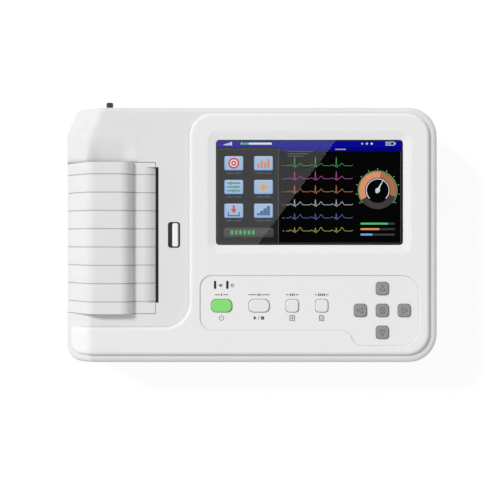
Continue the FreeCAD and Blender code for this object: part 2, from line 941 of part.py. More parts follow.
def finger_dip():
    """Makes the tool for a soft roll-off of the deck towards the rear end of the hump."""
    dip = Piece("finger_dip")
    growth = 1 + size.case_wall / size.dip_reach
    sections = [
        dip_section(dip, -size.case_wall, size.dip_sink * growth * growth),
        dip_section(dip, size.dip_reach / 2, size.dip_sink / 4),
        dip_section(dip, size.dip_reach, -size.dip_entry_rise / 2),
    ]
    return dip.loft(*sections).body


def top_case():
    """Builds the upper shell: deck, sloped left side, paper bay walls and finger dip."""
    outer = shell_block("top_outer", 0, size.seam_height)
    outer.soften(size.rim_radius, ridge)
    hollow = shell_block("top_hollow", size.case_wall, size.seam_height - size.case_wall)
    shell = cut("top_shell", outer.body, [hollow.body])
    bay_x = (left, slot_right + size.case_wall)
    bay_z = (bay_bottom, hump_top)
    dip_x = (left + size.dip_left - size.case_wall, left + size.dip_right + size.case_wall)
    dip_z = (deck - size.dip_floor, deck)
    ribs = [
        box("bay_rear_wall", bay_x, (bay_rear, bay_rear + size.case_wall), (bay_bottom, deck)),
        box("bay_front_wall", bay_x, (bay_front - size.case_wall, bay_front), (bay_bottom, deck)),
        box("dip_floor", dip_x, (bay_rear, bay_rear + size.dip_floor_reach), dip_z),
    ]
    for index, (x, y) in enumerate(boss_places):
        post = rod(f"top_boss_{index}", size.boss_radius, deck - size.seam_height, x, y, size.seam_height)
        ribs.append(post)
    inside = meet("top_ribs", outer.body, fuse("top_ribs_all", ribs))
    tools = [
        box("bay_tool", (left - size.case_wall, lip_end + size.cover_gap), (bay_front, bay_rear), bay_z),
        box("slot_tool", (platen_x, slot_right), (-slot_length / 2, slot_length / 2), bay_z),
        finger_dip(),
    ]
    openings = Piece("top_openings")
    glass_width = size.window_width + 2 * size.glass_border
    glass_length = size.window_length + 2 * size.glass_border
    opening_low = deck_under - size.case_wall
    opening_rise = 2 * size.case_wall + size.panel_rise
    screen = openings.polygon(
        centred(panel_middle, display_y, glass_width, glass_length, size.glass_radius), lift=opening_low
    )
    openings.pad(screen, opening_rise)
    tools.append(openings.body)
    keys = Piece("key_opening")
    inset = size.key_board_inset
    key_plan = rectangle(
        recess_left + inset,
        recess_right - inset,
        recess_front + inset,
        recess_rear - inset,
        size.panel_edge,
    )
    tools.append(keys.pad(keys.polygon(key_plan, lift=opening_low), opening_rise).body)
    slot = Piece("latch_slot")
    slot_plan = centred(
        latch_x, 0, size.latch_slot_width, size.latch_slot_length, size.latch_slot_radius
    )
    tools.append(slot.pad(slot.polygon(slot_plan, lift=opening_low), opening_rise).body)
    pilot = size.case_screw_radius + size.screw_fit
    for index, (x, y) in enumerate(boss_places):
        depth = size.case_screw_bite + size.seam_chamfer
        tools.append(rod(f"top_pilot_{index}", pilot, depth, x, y, size.seam_height))
    pin_start = bay_front - size.case_wall
    pin_length = bay_rear - bay_front + 2 * size.case_wall
    pin_hole = size.hinge_pin_radius + size.screw_fit
    tools.append(rod("hinge_holes", pin_hole, pin_length, hinge_x, pin_start, hinge_z, ALONG_Y))
    node("top_case", cut("top_case", fuse("top_body", [shell, inside]), tools))
    pin = rod("cover_hinge_pin", size.hinge_pin_radius, pin_length, hinge_x, pin_start, hinge_z, ALONG_Y)
    node("cover_hinge_pin", pin)


def standoff_places():
    """Returns the corners where the main board is screwed down."""
    x_low = panel_left + size.main_board_left
    y_high = rear - size.main_board_rear
    x_span = (x_low + size.main_board_hole, x_low + size.main_board_width - size.main_board_hole)
    y_low = y_high - size.main_board_length
    y_span = (y_low + size.main_board_hole, y_high - size.main_board_hole)
    return [(x, y) for x in x_span for y in y_span]


def power_places():
    """Returns the spans of the power board."""
    x_high = right - size.power_board_right
    y_high = rear - size.power_board_rear
    return (x_high - size.power_board_width, x_high), (y_high - size.power_board_length, y_high)


def battery_spans(margin):
    """Returns the battery's plan, widened by a margin."""
    half = size.battery_width / 2 + margin
    low = front + size.battery_front - margin
    return (size.battery_x - half, size.battery_x + half), (low, low + size.battery_length + 2 * margin)


def base_case():
    """Builds the lower shell with its screw wells, posts, battery bay and socket openings."""
    outer = Piece("base_outer")
    plan = outer.polygon(case_outline(0), lift=size.foot_height)
    outer.pad(plan, size.seam_height - size.foot_height)
    outer.soften(size.base_radius, lambda shape: ridge(shape, upward=False))
    outer.soften(size.seam_chamfer, ridge, "PartDesign::Chamfer")
    hollow = outer.polygon(case_outline(size.case_wall), lift=size.seam_height)
    outer.pocket(hollow, size.seam_height - floor)
    posts = []
    for index, (x, y) in enumerate(boss_places):
        height = size.seam_height - size.foot_height
        posts.append(rod(f"base_boss_{index}", size.boss_radius, height, x, y, size.foot_height))
    for index, (x, y) in enumerate(standoff_places()):
        height = size.main_board_height - size.foot_height
        posts.append(rod(f"standoff_{index}", size.standoff_radius, height, x, y, size.foot_height))
    power_x, power_y = power_places()
    inset = size.main_board_hole
    for index, (x, y) in enumerate([(x, y) for x in power_x for y in power_y]):
        across = x + inset if index < 2 else x - inset
        along = y + inset if index % 2 == 0 else y - inset
        height = size.power_board_height - size.foot_height
        foot = (across, along, size.foot_height)
        posts.append(rod(f"power_post_{index}", size.standoff_radius, height, *foot))
    bay_wide_x, bay_wide_y = battery_spans(size.battery_gap + size.battery_wall)
    bay_x, bay_y = battery_spans(size.battery_gap)
    bay_z = (size.foot_height, floor + size.battery_height)
    posts.append(box("battery_walls", bay_wide_x, bay_wide_y, bay_z))
    tools = [box("battery_bay", bay_x, bay_y, (size.foot_height - size.case_wall, bay_z[1]))]
    ledge = Piece("door_recess")
    ledge_low = size.foot_height - size.door_thickness
    ledge_plan = ledge.polygon(door_outline(size.seat_fit), lift=ledge_low)
    tools.append(ledge.pad(ledge_plan, 2 * size.door_thickness).body)
    door_inside = size.foot_height + size.door_thickness
    for index, (x, y) in enumerate(door_screw_places()):
        posts.append(rod(f"door_post_{index}", size.boss_radius, size.door_screw_length, x, y, door_inside))
        hole = size.door_screw_radius + size.screw_fit
        tools.append(rod(f"door_screw_hole_{index}", hole, size.door_screw_length, x, y, door_inside))
    socket = size.foot_radius + size.foot_fit
    for index, (x, y) in enumerate(foot_places):
        depth = size.foot_socket_depth
        tools.append(rod(f"foot_socket_{index}", socket, 2 * depth, x, y, size.foot_height - depth))
    well = size.screw_head_radius + size.screw_well_gap
    well_top = size.seam_height - size.case_screw_neck
    for index, (x, y) in enumerate(boss_places):
        tools.append(rod(f"screw_well_{index}", well, well_top - size.foot_height, x, y, size.foot_height))
        neck = size.case_screw_radius + size.screw_fit
        tools.append(rod(f"screw_neck_{index}", neck, size.case_screw_neck, x, y, well_top))
    for index, (x, y) in enumerate(standoff_places()):
        pilot = size.board_screw_radius + size.screw_fit
        start = size.main_board_height - size.board_screw_bite
        tools.append(rod(f"standoff_pilot_{index}", pilot, size.board_screw_bite, x, y, start))
    tools.append(box("inlet_opening", *inlet_spans(size.seat_fit)))
    ground_hole = size.ground_neck_radius + size.screw_fit
    ground_start = rear - 2 * size.case_wall
    ground_place = (left + size.ground_x, ground_start, size.ground_z, ALONG_Y)
    tools.append(rod("ground_hole", ground_hole, 4 * size.case_wall, *ground_place))
    wall_x = (right - 2 * size.case_wall, right + size.case_wall)
    lead_half = size.lead_shell_width / 2 + size.seat_fit
    lead_rise = size.lead_shell_height / 2 + size.seat_fit
    lead_y = (size.lead_y - lead_half, size.lead_y + lead_half)
    lead_z = (size.lead_z - lead_rise, size.lead_z + lead_rise)
    tools.append(box("lead_opening", wall_x, lead_y, lead_z))
    for index, y in enumerate(lead_post_places()):
        post_hole = size.lead_post_bore + size.case_wall / 2
        spot = (right - 2 * size.case_wall, y, size.lead_z, ALONG_X)
        tools.append(rod(f"lead_post_hole_{index}", post_hole, 4 * size.case_wall, *spot))
    for index, y in enumerate(usb_places()):
        half = size.usb_width / 2 + size.seat_fit
        rise = size.usb_height / 2 + size.seat_fit
        span_z = (size.usb_z - rise, size.usb_z + rise)
        tools.append(box(f"usb_opening_{index}", wall_x, (y - half, y + half), span_z))
    inside = meet("base_posts", outer_envelope(), fuse("base_posts_all", posts))
    node("base_case", cut("base_case", fuse("base_body", [outer.body, inside]), tools))


def outer_envelope():
    """Makes the space that posts inside the lower shell may fill, up to the main board."""
    envelope = Piece("base_envelope")
    plan = envelope.polygon(case_outline(size.case_wall / 2), lift=size.foot_height + size.case_wall / 2)
    return envelope.pad(plan, size.main_board_height - size.foot_height - size.case_wall / 2).body


def door_screw_places():
    """Returns the places of the battery door's two screws."""
    edge = battery_spans(size.door_ledge)[1][1] + size.door_tab_reach / 2
    return [(size.battery_x + sign * size.door_tab_pitch / 2, edge) for sign in (-1, 1)]


def door_outline(margin):
    """Returns the plan of the battery door with its two screw tabs, widened by a margin."""
    door_x, door_y = battery_spans(size.door_ledge + margin)
    tab_end = door_y[1] + size.door_tab_reach
    corners = [
        (door_x[0], door_y[1], size.door_radius),
        (door_x[0], door_y[0], size.door_radius),
        (door_x[1], door_y[0], size.door_radius),
        (door_x[1], door_y[1], size.door_radius),
    ]
    half = size.door_tab / 2 + margin
    for x, _ in reversed(door_screw_places()):
        corners += [
            (x + half, door_y[1], 0),
            (x + half, tab_end, size.door_radius),
            (x - half, tab_end, size.door_radius),
            (x - half, door_y[1], 0),
        ]
    return corners


def lead_post_places():
    """Returns the places of the two screw posts along the right wall."""
    return [size.lead_y + sign * size.lead_post_pitch / 2 for sign in (-1, 1)]


def usb_places():
    """Returns the places of the two USB sockets along the right wall."""
    return [-size.usb_y, -size.usb_y - size.usb_pitch]


def inlet_spans(margin):
    """Returns the block that the mains inlet's body fills, widened by a margin."""
    half = size.inlet_width / 2 + margin
    rise = size.inlet_height / 2 + margin
    return (
        (size.inlet_x - half, size.inlet_x + half),
        (rear - size.inlet_depth, rear + size.case_wall),
        (size.inlet_z - rise, size.inlet_z + rise),
    )


def panel_roof():
    """Makes a bar under the panel's top, which runs down to meet the deck's slope at the left edge."""
    bar = Piece("panel_roof")
    far = right + size.slope_run
    turn = left + size.slope_run - size.panel_rise * size.strip_ease
    foot_z = deck - size.slope_drop + size.strip_end_rise
    fall = (panel_top - foot_z) / (turn - left)
    section = [
        (left - size.slope_run, size.foot_height, 0),
        (far, size.foot_height, 0),
        (far, panel_top, 0),
        (turn, panel_top, size.slope_radius + size.panel_rise),
        (left - size.slope_run, foot_z - size.slope_run * fall, 0),
    ]
    return bar.pad(bar.polygon(section, "XZ_Plane"), case_depth * 2, both_ways=True)


def front_panel():
    """Builds the raised L-shaped panel with the screen bezel, key recess and board posts."""
    strip_rear = bay_front - size.strip_gap
    plan = [
        (left + size.strip_end_inset, panel_front, size.strip_corner),
        (panel_right, panel_front, size.panel_corner),
        (panel_right, panel_rear, size.panel_corner),
        (panel_left, panel_rear, size.panel_corner),
        (panel_left, strip_rear, size.panel_bend),
        (left + size.strip_end_inset, strip_rear, size.panel_edge),
    ]
    panel = Piece("panel_outer")
    low = deck - size.slope_drop - size.slope_run
    panel.pad(panel.polygon(plan, lift=low), hump_top - low)
    panel.common(panel_roof())
    panel.soften(size.panel_edge, ridge)
    bezel_low = panel_top - size.bezel_sink
    wide = panel.polygon(
        centred(panel_middle, display_y, bezel_width, bezel_length, size.bezel_radius), lift=panel_top
    )
    narrow = panel.polygon(
        centred(panel_middle, display_y, size.window_width, size.window_length, size.window_radius),
        lift=bezel_low,
    )
    panel.loft_cut(wide, narrow)
    window = panel.polygon(
        centred(panel_middle, display_y, size.window_width, size.window_length, size.window_radius),
        lift=panel_top,
    )
    panel.pocket(window, panel_top - low)
    glass_top = bezel_low - size.window_lip
    glass_width = size.window_width + 2 * (size.glass_border + size.seat_fit)
    glass_length = size.window_length + 2 * (size.glass_border + size.seat_fit)
    seat = panel.polygon(
        centred(panel_middle, display_y, glass_width, glass_length, size.glass_radius), lift=glass_top
    )
    panel.pocket(seat, glass_top - low)
    recess = panel.polygon(recess_plan(0), lift=panel_top)
    panel.pocket(recess, size.recess_sink)
    panel.soften(size.recess_edge, recess_rim)
    trimmed = cut("panel_trimmed", panel.body, [roof("panel_seat", 0, size.foot_height).body])
    posts = []
    pilots = []
    for index, (x, y) in enumerate(post_places()):
        height = deck - key_board_top
        posts.append(rod(f"panel_post_{index}", size.post_radius, height, x, y, key_board_top))
        pilot = size.board_screw_radius + size.screw_fit
        pilots.append(rod(f"panel_pilot_{index}", pilot, size.board_screw_bite, x, y, key_board_top))
    body = fuse("panel_body", [trimmed, *posts])
    node("front_panel", cut("front_panel", body, pilots + key_holes("panel_hole")))


def post_places():
    """Returns the places of the posts that carry the key board under the panel."""
    return [
        (recess_left + size.post_inset, recess_rear - size.post_near),
        (recess_left + size.post_inset, recess_rear - size.post_far),
        (recess_right - size.post_corner, recess_rear - size.post_corner),
        (recess_right - size.post_corner, recess_front + size.post_corner),
    ]


def recess_rim(shape):
    """Names the edges round the key recess in the panel's flat top."""
    top = number_of(panel_top) - UPRIGHT
    return [name for name in ridge(shape) if shape.getElement(name).BoundBox.ZMin > top]


def recess_plan(inset):
    """Returns the plan of the key recess with its S-shaped lower edge, drawn in by an inset."""
    low = recess_rear - size.recess_short + inset
    return [
        (recess_left + inset, low, size.recess_left_radius - inset),
        (recess_right - size.bend_start, low, size.bend_radius + inset),
        (recess_right - size.bend_end, recess_front + inset, size.bend_radius - inset),
        (recess_right - inset, recess_front + inset, size.recess_right_radius - inset),
        (recess_right - inset, recess_rear - inset, size.recess_right_radius - inset),
        (recess_left + inset, recess_rear - inset, size.recess_left_radius - inset),
    ]


def lens_plan(x, y, margin):
    """Returns the oblong of a status lens, widened by a margin."""
    round_end = size.lens_width / 2 * size.round_share
    return centred(x, y, size.lens_width + 2 * margin, size.lens_length + 2 * margin, round_end)


def key_holes(name):
    """Makes the tools that open a sheet for the keys and the status lenses."""
    gap = 2 * size.key_gap
    outlines = []
    for x, y, width, length, radius in KEYS.values():
        outlines.append(centred(x, y, width + gap, length + gap, radius))
    outlines += [lens_plan(x, y, size.lens_fit) for x, y in lens_places]
    tools = []
    for index, outline in enumerate(outlines):
        tool = Piece(f"{name}_{index}")
        tools.append(tool.pad(tool.polygon(outline, lift=deck_under), hump_top - deck_under).body)
    return tools


def key_overlay():
    """Builds the printed film in the key recess, with openings for keys and lenses."""
    film = Piece("overlay_sheet")
    sheet_plan = film.polygon(recess_plan(size.overlay_fit), lift=recess_floor)
    film.pad(sheet_plan, size.overlay_thickness)
    node("key_overlay", cut("key_overlay", film.body, key_holes("overlay_hole")))


def screen():
    """Builds the cover glass, its foam gasket and the display module."""
    width = size.window_width + 2 * size.glass_border
    length = size.window_length + 2 * size.glass_border
    glass_top = panel_top - size.bezel_sink - size.window_lip
    glass_low = glass_top - size.glass_thickness
    glass = Piece("display_glass")
    plan = centred(panel_middle, display_y, width, length, size.glass_radius)
    node("display_glass", glass.pad(glass.polygon(plan, lift=glass_low), size.glass_thickness).body)
    gasket_low = glass_low - size.gasket_thickness
    width = width - 2 * size.module_inset
    length = length - 2 * size.module_inset
    plan = centred(panel_middle, display_y, width, length, size.window_radius)
    gasket = Piece("display_gasket")
    gasket.pad(gasket.polygon(plan, lift=gasket_low), size.gasket_thickness)
    rim = 2 * size.gasket_width
    hole_plan = centred(panel_middle, display_y, width - rim, length - rim, size.window_radius)
    hole = gasket.polygon(hole_plan, lift=glass_low)
    gasket.pocket(hole, size.gasket_thickness)
    node("display_gasket", gasket.body)
    module = Piece("display_module")
    module_low = gasket_low - size.module_thickness
    node("display_module", module.pad(module.polygon(plan, lift=module_low), size.module_thickness).body)


def keys():
    """Builds the nine keys, each with its retaining flange and its stem."""
    flange_top = deck - size.key_flange_gap
    flange_low = flange_top - size.key_flange
    tip_low = key_board_top + size.switch_height - size.key_tip_depth
    for label, (x, y, width, length, radius) in KEYS.items():
        key = Piece(label)
        cap = key.polygon(centred(x, y, width, length, radius), lift=flange_low)
        key.pad(cap, panel_top + size.key_proud - flange_low)
        key.soften(size.key_edge, ridge)
        rim = 2 * size.key_flange
        flange = centred(x, y, width + rim, length + rim, radius + size.key_flange)
        key.pad(key.polygon(flange, lift=flange_low), size.key_flange)
        stem = key.circles([(x, y)], size.key_stem_radius, lift=flange_low)
        stem_low = key_board_top + size.switch_height + size.key_travel + size.key_flange_gap
        key.pad(stem, flange_low - stem_low, backwards=True)
        tip = key.circles([(x, y)], size.key_tip_radius, lift=stem_low)
        key.pad(tip, stem_low - tip_low, backwards=True)
        node(label, key.body)


def status_lenses():
    """Builds the two light guides beside the power key."""
    guides = []
    top = recess_floor + size.overlay_thickness + size.lens_proud
    for index, (x, y) in enumerate(lens_places):
        guide = Piece(f"status_lens_{index}")
        plan = guide.polygon(lens_plan(x, y, 0), lift=key_board_top)
        guides.append(guide.pad(plan, top - key_board_top).body)
    node("status_lenses", group("status_lenses", guides))


def key_board():
    """Builds the board under the keys and one switch for each key."""
    inset = size.key_board_inset
    board = Piece("key_board")
    low = key_board_top - size.board_thickness
    plan = rectangle(
        recess_left + inset,
        recess_right - inset,
        recess_front + inset,
        recess_rear - inset,
        size.window_radius,
    )
    board.pad(board.polygon(plan, lift=low), size.board_thickness)
    holes = board.circles(post_places(), size.board_screw_radius + size.screw_fit, lift=key_board_top)
    board.pocket(holes, size.board_thickness)
    node("key_board", board.body)
    switches = []
    for label, (x, y, _, _, _) in KEYS.items():
        switch = Piece(f"{label}_switch")
        body = switch.polygon(centred(x, y, size.switch_width, size.switch_width), lift=key_board_top)
        switch.pad(body, size.switch_height)
        bore = switch.circles([(x, y)], size.switch_bore, lift=key_board_top + size.switch_height)
        switch.pocket(bore, size.key_tip_depth + size.key_travel + size.key_flange_gap)
        switches.append(switch.body)
    node("key_switches", group("key_switches", switches))


def screw(name, radius, length, head_radius, head_height, x, y, z, turn=None):
    """Builds a round-headed screw whose head sits at a point and whose shank runs up from it."""
    shank = Piece(name)
    profile = [
        (0, -head_height, 0),
        (head_radius, -head_height, head_height / 2),
        (head_radius, 0, 0),
        (radius, 0, 0),
        (radius, length, 0),
        (0, length, 0),
    ]
    shank.revolve(shank.polygon(profile, "XZ_Plane"))
    return shank.at(x, y, z, turn).body


def screws_and_feet():
    """Builds the case screws, the board screws and the rubber feet."""
    case_screws = []
    seat = size.seam_height - size.case_screw_neck
    for index, (x, y) in enumerate(boss_places):
        length = size.case_screw_neck + size.case_screw_bite
        head = (size.screw_head_radius, size.screw_head_height)
        case_screws.append(screw(f"case_screw_{index}", size.case_screw_radius, length, *head, x, y, seat))
    node("case_screws", group("case_screws", case_screws))
    board_screws = []
    head = (size.board_screw_head, size.board_screw_cap)
    length = size.board_screw_bite + size.board_thickness - size.seam_chamfer
    underside = key_board_top - size.board_thickness
    for index, (x, y) in enumerate(post_places()):
        place_name = f"key_board_screw_{index}"
        board_screws.append(screw(place_name, size.board_screw_radius, length, *head, x, y, underside))
    over = FreeCAD.Rotation(FreeCAD.Vector(1, 0, 0), 180)
    top = size.main_board_height + size.board_thickness
    for index, (x, y) in enumerate(standoff_places()):
        place_name = f"main_board_screw_{index}"
        board_screws.append(screw(place_name, size.board_screw_radius, length, *head, x, y, top, over))
    node("board_screws", group("board_screws", board_screws))
    feet = []
    for index, (x, y) in enumerate(foot_places):
        foot = Piece(f"foot_{index}")
        profile = [
            (0, 0, 0),
            (size.foot_radius - size.foot_edge, 0, size.foot_edge / 2),
            (size.foot_radius, size.foot_height, 0),
            (size.foot_radius, size.foot_height + size.foot_socket_depth, 0),
            (0, size.foot_height + size.foot_socket_depth, 0),
        ]
        feet.append(foot.revolve(foot.polygon(profile, "XZ_Plane")).at(x, y).body)
    node("feet", group("feet", feet))


def boards():
    """Builds the main board and the power board with what stands on them."""
    x_low = panel_left + size.main_board_left
    y_high = rear - size.main_board_rear
    y_low = y_high - size.main_board_length
    board = Piece("main_board")
    plan = rectangle(x_low, x_low + size.main_board_width, y_low, y_high, size.window_radius)
    board.pad(board.polygon(plan, lift=size.main_board_height), size.board_thickness)
    top = size.main_board_height + size.board_thickness
    holes = board.circles(standoff_places(), size.board_screw_radius + size.screw_fit, lift=top)
    board.pocket(holes, size.board_thickness)
    node("main_board", board.body)
    parts = []
    chip_y = (y_low + y_high) / 2
    for index in range(int(size.chip_count.value)):
        x = x_low + size.chip_width + index * size.chip_pitch
        span = (x - size.chip_width / 2, x + size.chip_width / 2)
        rows = (chip_y - size.chip_width / 2, chip_y + size.chip_width / 2)
        parts.append(box(f"main_chip_{index}", span, rows, (top, top + size.chip_height)))
    can_x = (x_low + size.chip_width, x_low + size.chip_width + size.shield_width)
    can_y = (y_high - size.power_part_inset - size.shield_length, y_high - size.power_part_inset)
    can = Piece("shield_can")
    can_plan = can.polygon(rectangle(*can_x, *can_y, size.window_radius), lift=top)
    parts.append(can.pad(can_plan, size.shield_height).soften(size.window_lip, ridge).body)
    node("main_board_parts", group("main_board_parts", parts))
    power_x, power_y = power_places()
    power = Piece("power_board")
    plan = power.polygon(rectangle(*power_x, *power_y, size.window_radius), lift=size.power_board_height)
    node("power_board", power.pad(plan, size.board_thickness).body)
    top = size.power_board_height + size.board_thickness
    core_left = power_x[0] + size.power_part_inset
    core_front = power_y[0] + size.power_part_inset
    core_x = (core_left, core_left + size.transformer_width)
    core_y = (core_front, core_front + size.transformer_length)
    power_parts = [box("transformer", core_x, core_y, (top, top + size.transformer_height))]
    for index in range(int(size.capacitor_count.value)):
        x = power_x[1] - size.power_part_inset - size.capacitor_radius
        y = power_y[1] - size.power_part_inset - size.capacitor_radius - index * size.capacitor_pitch
        can = Piece(f"capacitor_{index}")
        ring = can.circles([(x, y)], size.capacitor_radius, lift=top)
        power_parts.append(can.pad(ring, size.capacitor_height).soften(size.window_lip, ridge).body)
    node("power_parts", group("power_parts", power_parts))


def battery():
    """Builds the battery pack, its door and the door's two screws."""
    span_x, span_y = battery_spans(0)
    low = size.foot_height + size.door_thickness
    pack = Piece("battery_pack")
    pack.pad(pack.polygon(rectangle(*span_x, *span_y, size.battery_radius), lift=low), size.battery_height)
    pack.soften(size.window_lip, ridge)
    node("battery_pack", pack.body)
    door = Piece("battery_door")
    door.pad(door.polygon(door_outline(0), lift=size.foot_height), size.door_thickness)
    hole = size.door_screw_radius + size.screw_fit
    holes = door.circles(door_screw_places(), hole, lift=size.foot_height + size.door_thickness)
    door.pocket(holes, size.door_thickness)
    node("battery_door", door.body)
    screws = []
    length = size.door_screw_length + size.door_thickness - size.seat_fit
    head = (size.screw_head_radius, size.door_screw_cap)
    for index, (x, y) in enumerate(door_screw_places()):
        spot = (x, y, size.foot_height)
        screws.append(screw(f"door_screw_{index}", size.door_screw_radius, length, *head, *spot))
    node("door_screws", group("door_screws", screws))


def mains_inlet():
    """Builds the recessed mains inlet and its three pins."""
    span_x, span_y, span_z = inlet_spans(0)
    mid_z = size.inlet_z
    inlet = Piece("inlet_shroud")
    corner = size.inlet_corner
    shroud = [
        (span_x[0], span_z[0], size.inlet_wall),
        (span_x[1], span_z[0], size.inlet_wall),
        (span_x[1], span_z[1], corner),
        (span_x[0], span_z[1], corner),
    ]
    inlet.pad(inlet.polygon(shroud, "XZ_Plane", lift=-rear), size.inlet_depth)
    rim = size.inlet_flange
    flange = rectangle(
        span_x[0] - rim, span_x[1] + rim, span_z[0] - rim, span_z[1] + rim, size.inlet_corner
    )
    inlet.pad(inlet.polygon(flange, "XZ_Plane", lift=-rear), size.inlet_flange_rise, backwards=True)
    wall = size.inlet_wall
    mouth = [
        (span_x[0] + wall, span_z[0] + wall, wall),
        (span_x[1] - wall, span_z[0] + wall, wall),
        (span_x[1] - wall, span_z[1] - wall, corner - wall),
        (span_x[0] + wall, span_z[1] - wall, corner - wall),
    ]
    cavity = inlet.polygon(mouth, "XZ_Plane", lift=-(rear + size.inlet_flange_rise))
    inlet.pocket(cavity, size.inlet_depth - size.inlet_floor + size.inlet_flange_rise, backwards=True)
    pin_low = rear - size.inlet_depth - size.inlet_pin_tail
    pin_high = rear - size.inlet_depth + size.inlet_floor + size.inlet_pin_reach
    half = size.inlet_pin_width / 2
    rise = size.inlet_pin_height
    blades = [
        (size.inlet_x - size.inlet_pin_pitch, mid_z - rise),
        (size.inlet_x, mid_z),
        (size.inlet_x + size.inlet_pin_pitch, mid_z - rise),
    ]
    pins = []
    slots = []
    for index, (x, z) in enumerate(blades):
        spans = ((x - half, x + half), (pin_low, pin_high), (z, z + rise))
        pins.append(box(f"mains_pin_{index}", *spans))
        slots.append(box(f"mains_pin_slot_{index}", *spans))
    node("mains_inlet", cut("mains_inlet", inlet.body, slots))
    node("mains_pins", group("mains_pins", pins))


def ground_post():
    """Builds the equipotential pin on the rear wall and its nut inside."""
    post = Piece("ground_post")
    neck_end = size.ground_flange + size.ground_neck
    tip = neck_end + size.ground_pin
    inner = size.case_wall + size.ground_nut_height
    profile = [
        (0, -inner, 0),
        (size.ground_neck_radius, -inner, 0),
        (size.ground_neck_radius, 0, 0),
        (size.ground_flange_radius, 0, 0),
        (size.ground_flange_radius, size.ground_flange, size.screw_well_gap),
        (size.ground_neck_radius, size.ground_flange, 0),
        (size.ground_neck_radius, neck_end, 0),
        (size.ground_pin_radius, neck_end, size.screw_well_gap),
        (size.ground_pin_radius, tip, size.ground_pin_edge),
        (0, tip, 0),
    ]
    post.revolve(post.polygon(profile, "XZ_Plane"))
    spot = (left + size.ground_x, rear, size.ground_z, ALONG_Y)
    node("ground_post", post.at(*spot).body)
    nut = DOCUMENT.addObject("Part::Prism", "ground_nut_hex")
    nut.Polygon = 6
    bind(nut, "Circumradius", size.ground_nut_radius)
    bind(nut, "Height", size.ground_nut_height)
    spot = (left + size.ground_x, rear - inner, size.ground_z, ALONG_Y)
    place(nut, *spot)
    bore = size.ground_neck_radius + size.screw_fit
    hole = rod("ground_nut_hole", bore, size.ground_nut_height, *spot)
    node("ground_nut", cut("ground_nut", nut, [hole]))


def lead_socket():
    """Builds the fifteen-way socket for the patient leads and its two screw posts."""
    wide = size.lead_shell_width / 2
    narrow = size.lead_shell_narrow / 2
    rise = size.lead_shell_height / 2
    corner = size.lead_shell_corner
    y, z = size.lead_y, size.lead_z
    outline = [
        (y - narrow, z - rise, corner),
        (y + narrow, z - rise, corner),
        (y + wide, z + rise, corner),
        (y - wide, z + rise, corner),
    ]
    socket = Piece("lead_socket")
    flange = centred(y, z, size.lead_flange_width, size.lead_flange_height, corner / 2)
    socket.pad(socket.polygon(flange, "YZ_Plane", lift=right), size.lead_flange)
    socket.pad(socket.polygon(outline, "YZ_Plane", lift=right), size.lead_shell_reach)
    socket.pad(socket.polygon(outline, "YZ_Plane", lift=right), size.lead_body_depth, backwards=True)
    contacts = []
    for row, count in LEAD_ROWS:
        for index in range(count):
            across = y + (index - (count - 1) / 2) * size.lead_pin_pitch
            contacts.append((across, z + row * size.lead_row_pitch / 2))
    mouth = socket.circles(contacts, size.lead_pin_radius, "YZ_Plane", right + size.lead_shell_reach)
    socket.pocket(mouth, size.lead_pin_depth)
    post_hole = size.lead_post_bore + size.lead_flange / 2 + size.screw_fit
    posts_at = [(place_y, z) for place_y in lead_post_places()]
    holes = socket.circles(posts_at, post_hole, "YZ_Plane", right + size.lead_flange)
    socket.pocket(holes, size.lead_flange)
    node("lead_socket", socket.body)
    posts = []
    for index, place_y in enumerate(lead_post_places()):
        post = Piece(f"lead_post_{index}")
        stud = size.lead_post_bore + size.lead_flange / 2
        profile = [
            (size.lead_post_bore, -size.lead_body_depth / 2, 0),
            (stud, -size.lead_body_depth / 2, 0),
            (stud, size.lead_flange, 0),
            (size.lead_post_radius, size.lead_flange, 0),
            (size.lead_post_radius, size.lead_flange + size.lead_post_reach, size.lead_post_edge),
            (size.lead_post_bore, size.lead_flange + size.lead_post_reach, 0),
        ]
        post.revolve(post.polygon(profile, "XZ_Plane"))
        posts.append(post.at(right, place_y, z, ALONG_X).body)
    node("lead_socket_posts", group("lead_socket_posts", posts))


def usb_sockets():
    """Builds the two USB shells in the right wall and their tongues."""
    shells = []
    tongues = []
    for index, y in enumerate(usb_places()):
        shell = Piece(f"usb_shell_{index}")
        z = size.usb_z
        body = centred(y, z, size.usb_width, size.usb_height, size.usb_radius)
        shell.pad(shell.polygon(body, "YZ_Plane", lift=right), size.usb_depth, backwards=True)
        thin = 2 * size.usb_shell
        corner = size.usb_radius - size.usb_shell
        hollow = centred(y, z, size.usb_width - thin, size.usb_height - thin, corner)
        mouth = shell.polygon(hollow, "YZ_Plane", lift=right)
        shell.pocket(mouth, size.usb_depth - size.usb_shell)
        shells.append(shell.body)
        back = right - size.usb_depth + size.usb_shell
        half = size.usb_tongue_width / 2
        tongue_z = (z, z + size.usb_tongue_height)
        span_x = (back, back + size.usb_tongue_reach)
        tongues.append(box(f"usb_tongue_{index}", span_x, (y - half, y + half), tongue_z))
    node("usb_sockets", group("usb_sockets", shells))
    node("usb_tongues", group("usb_tongues", tongues))


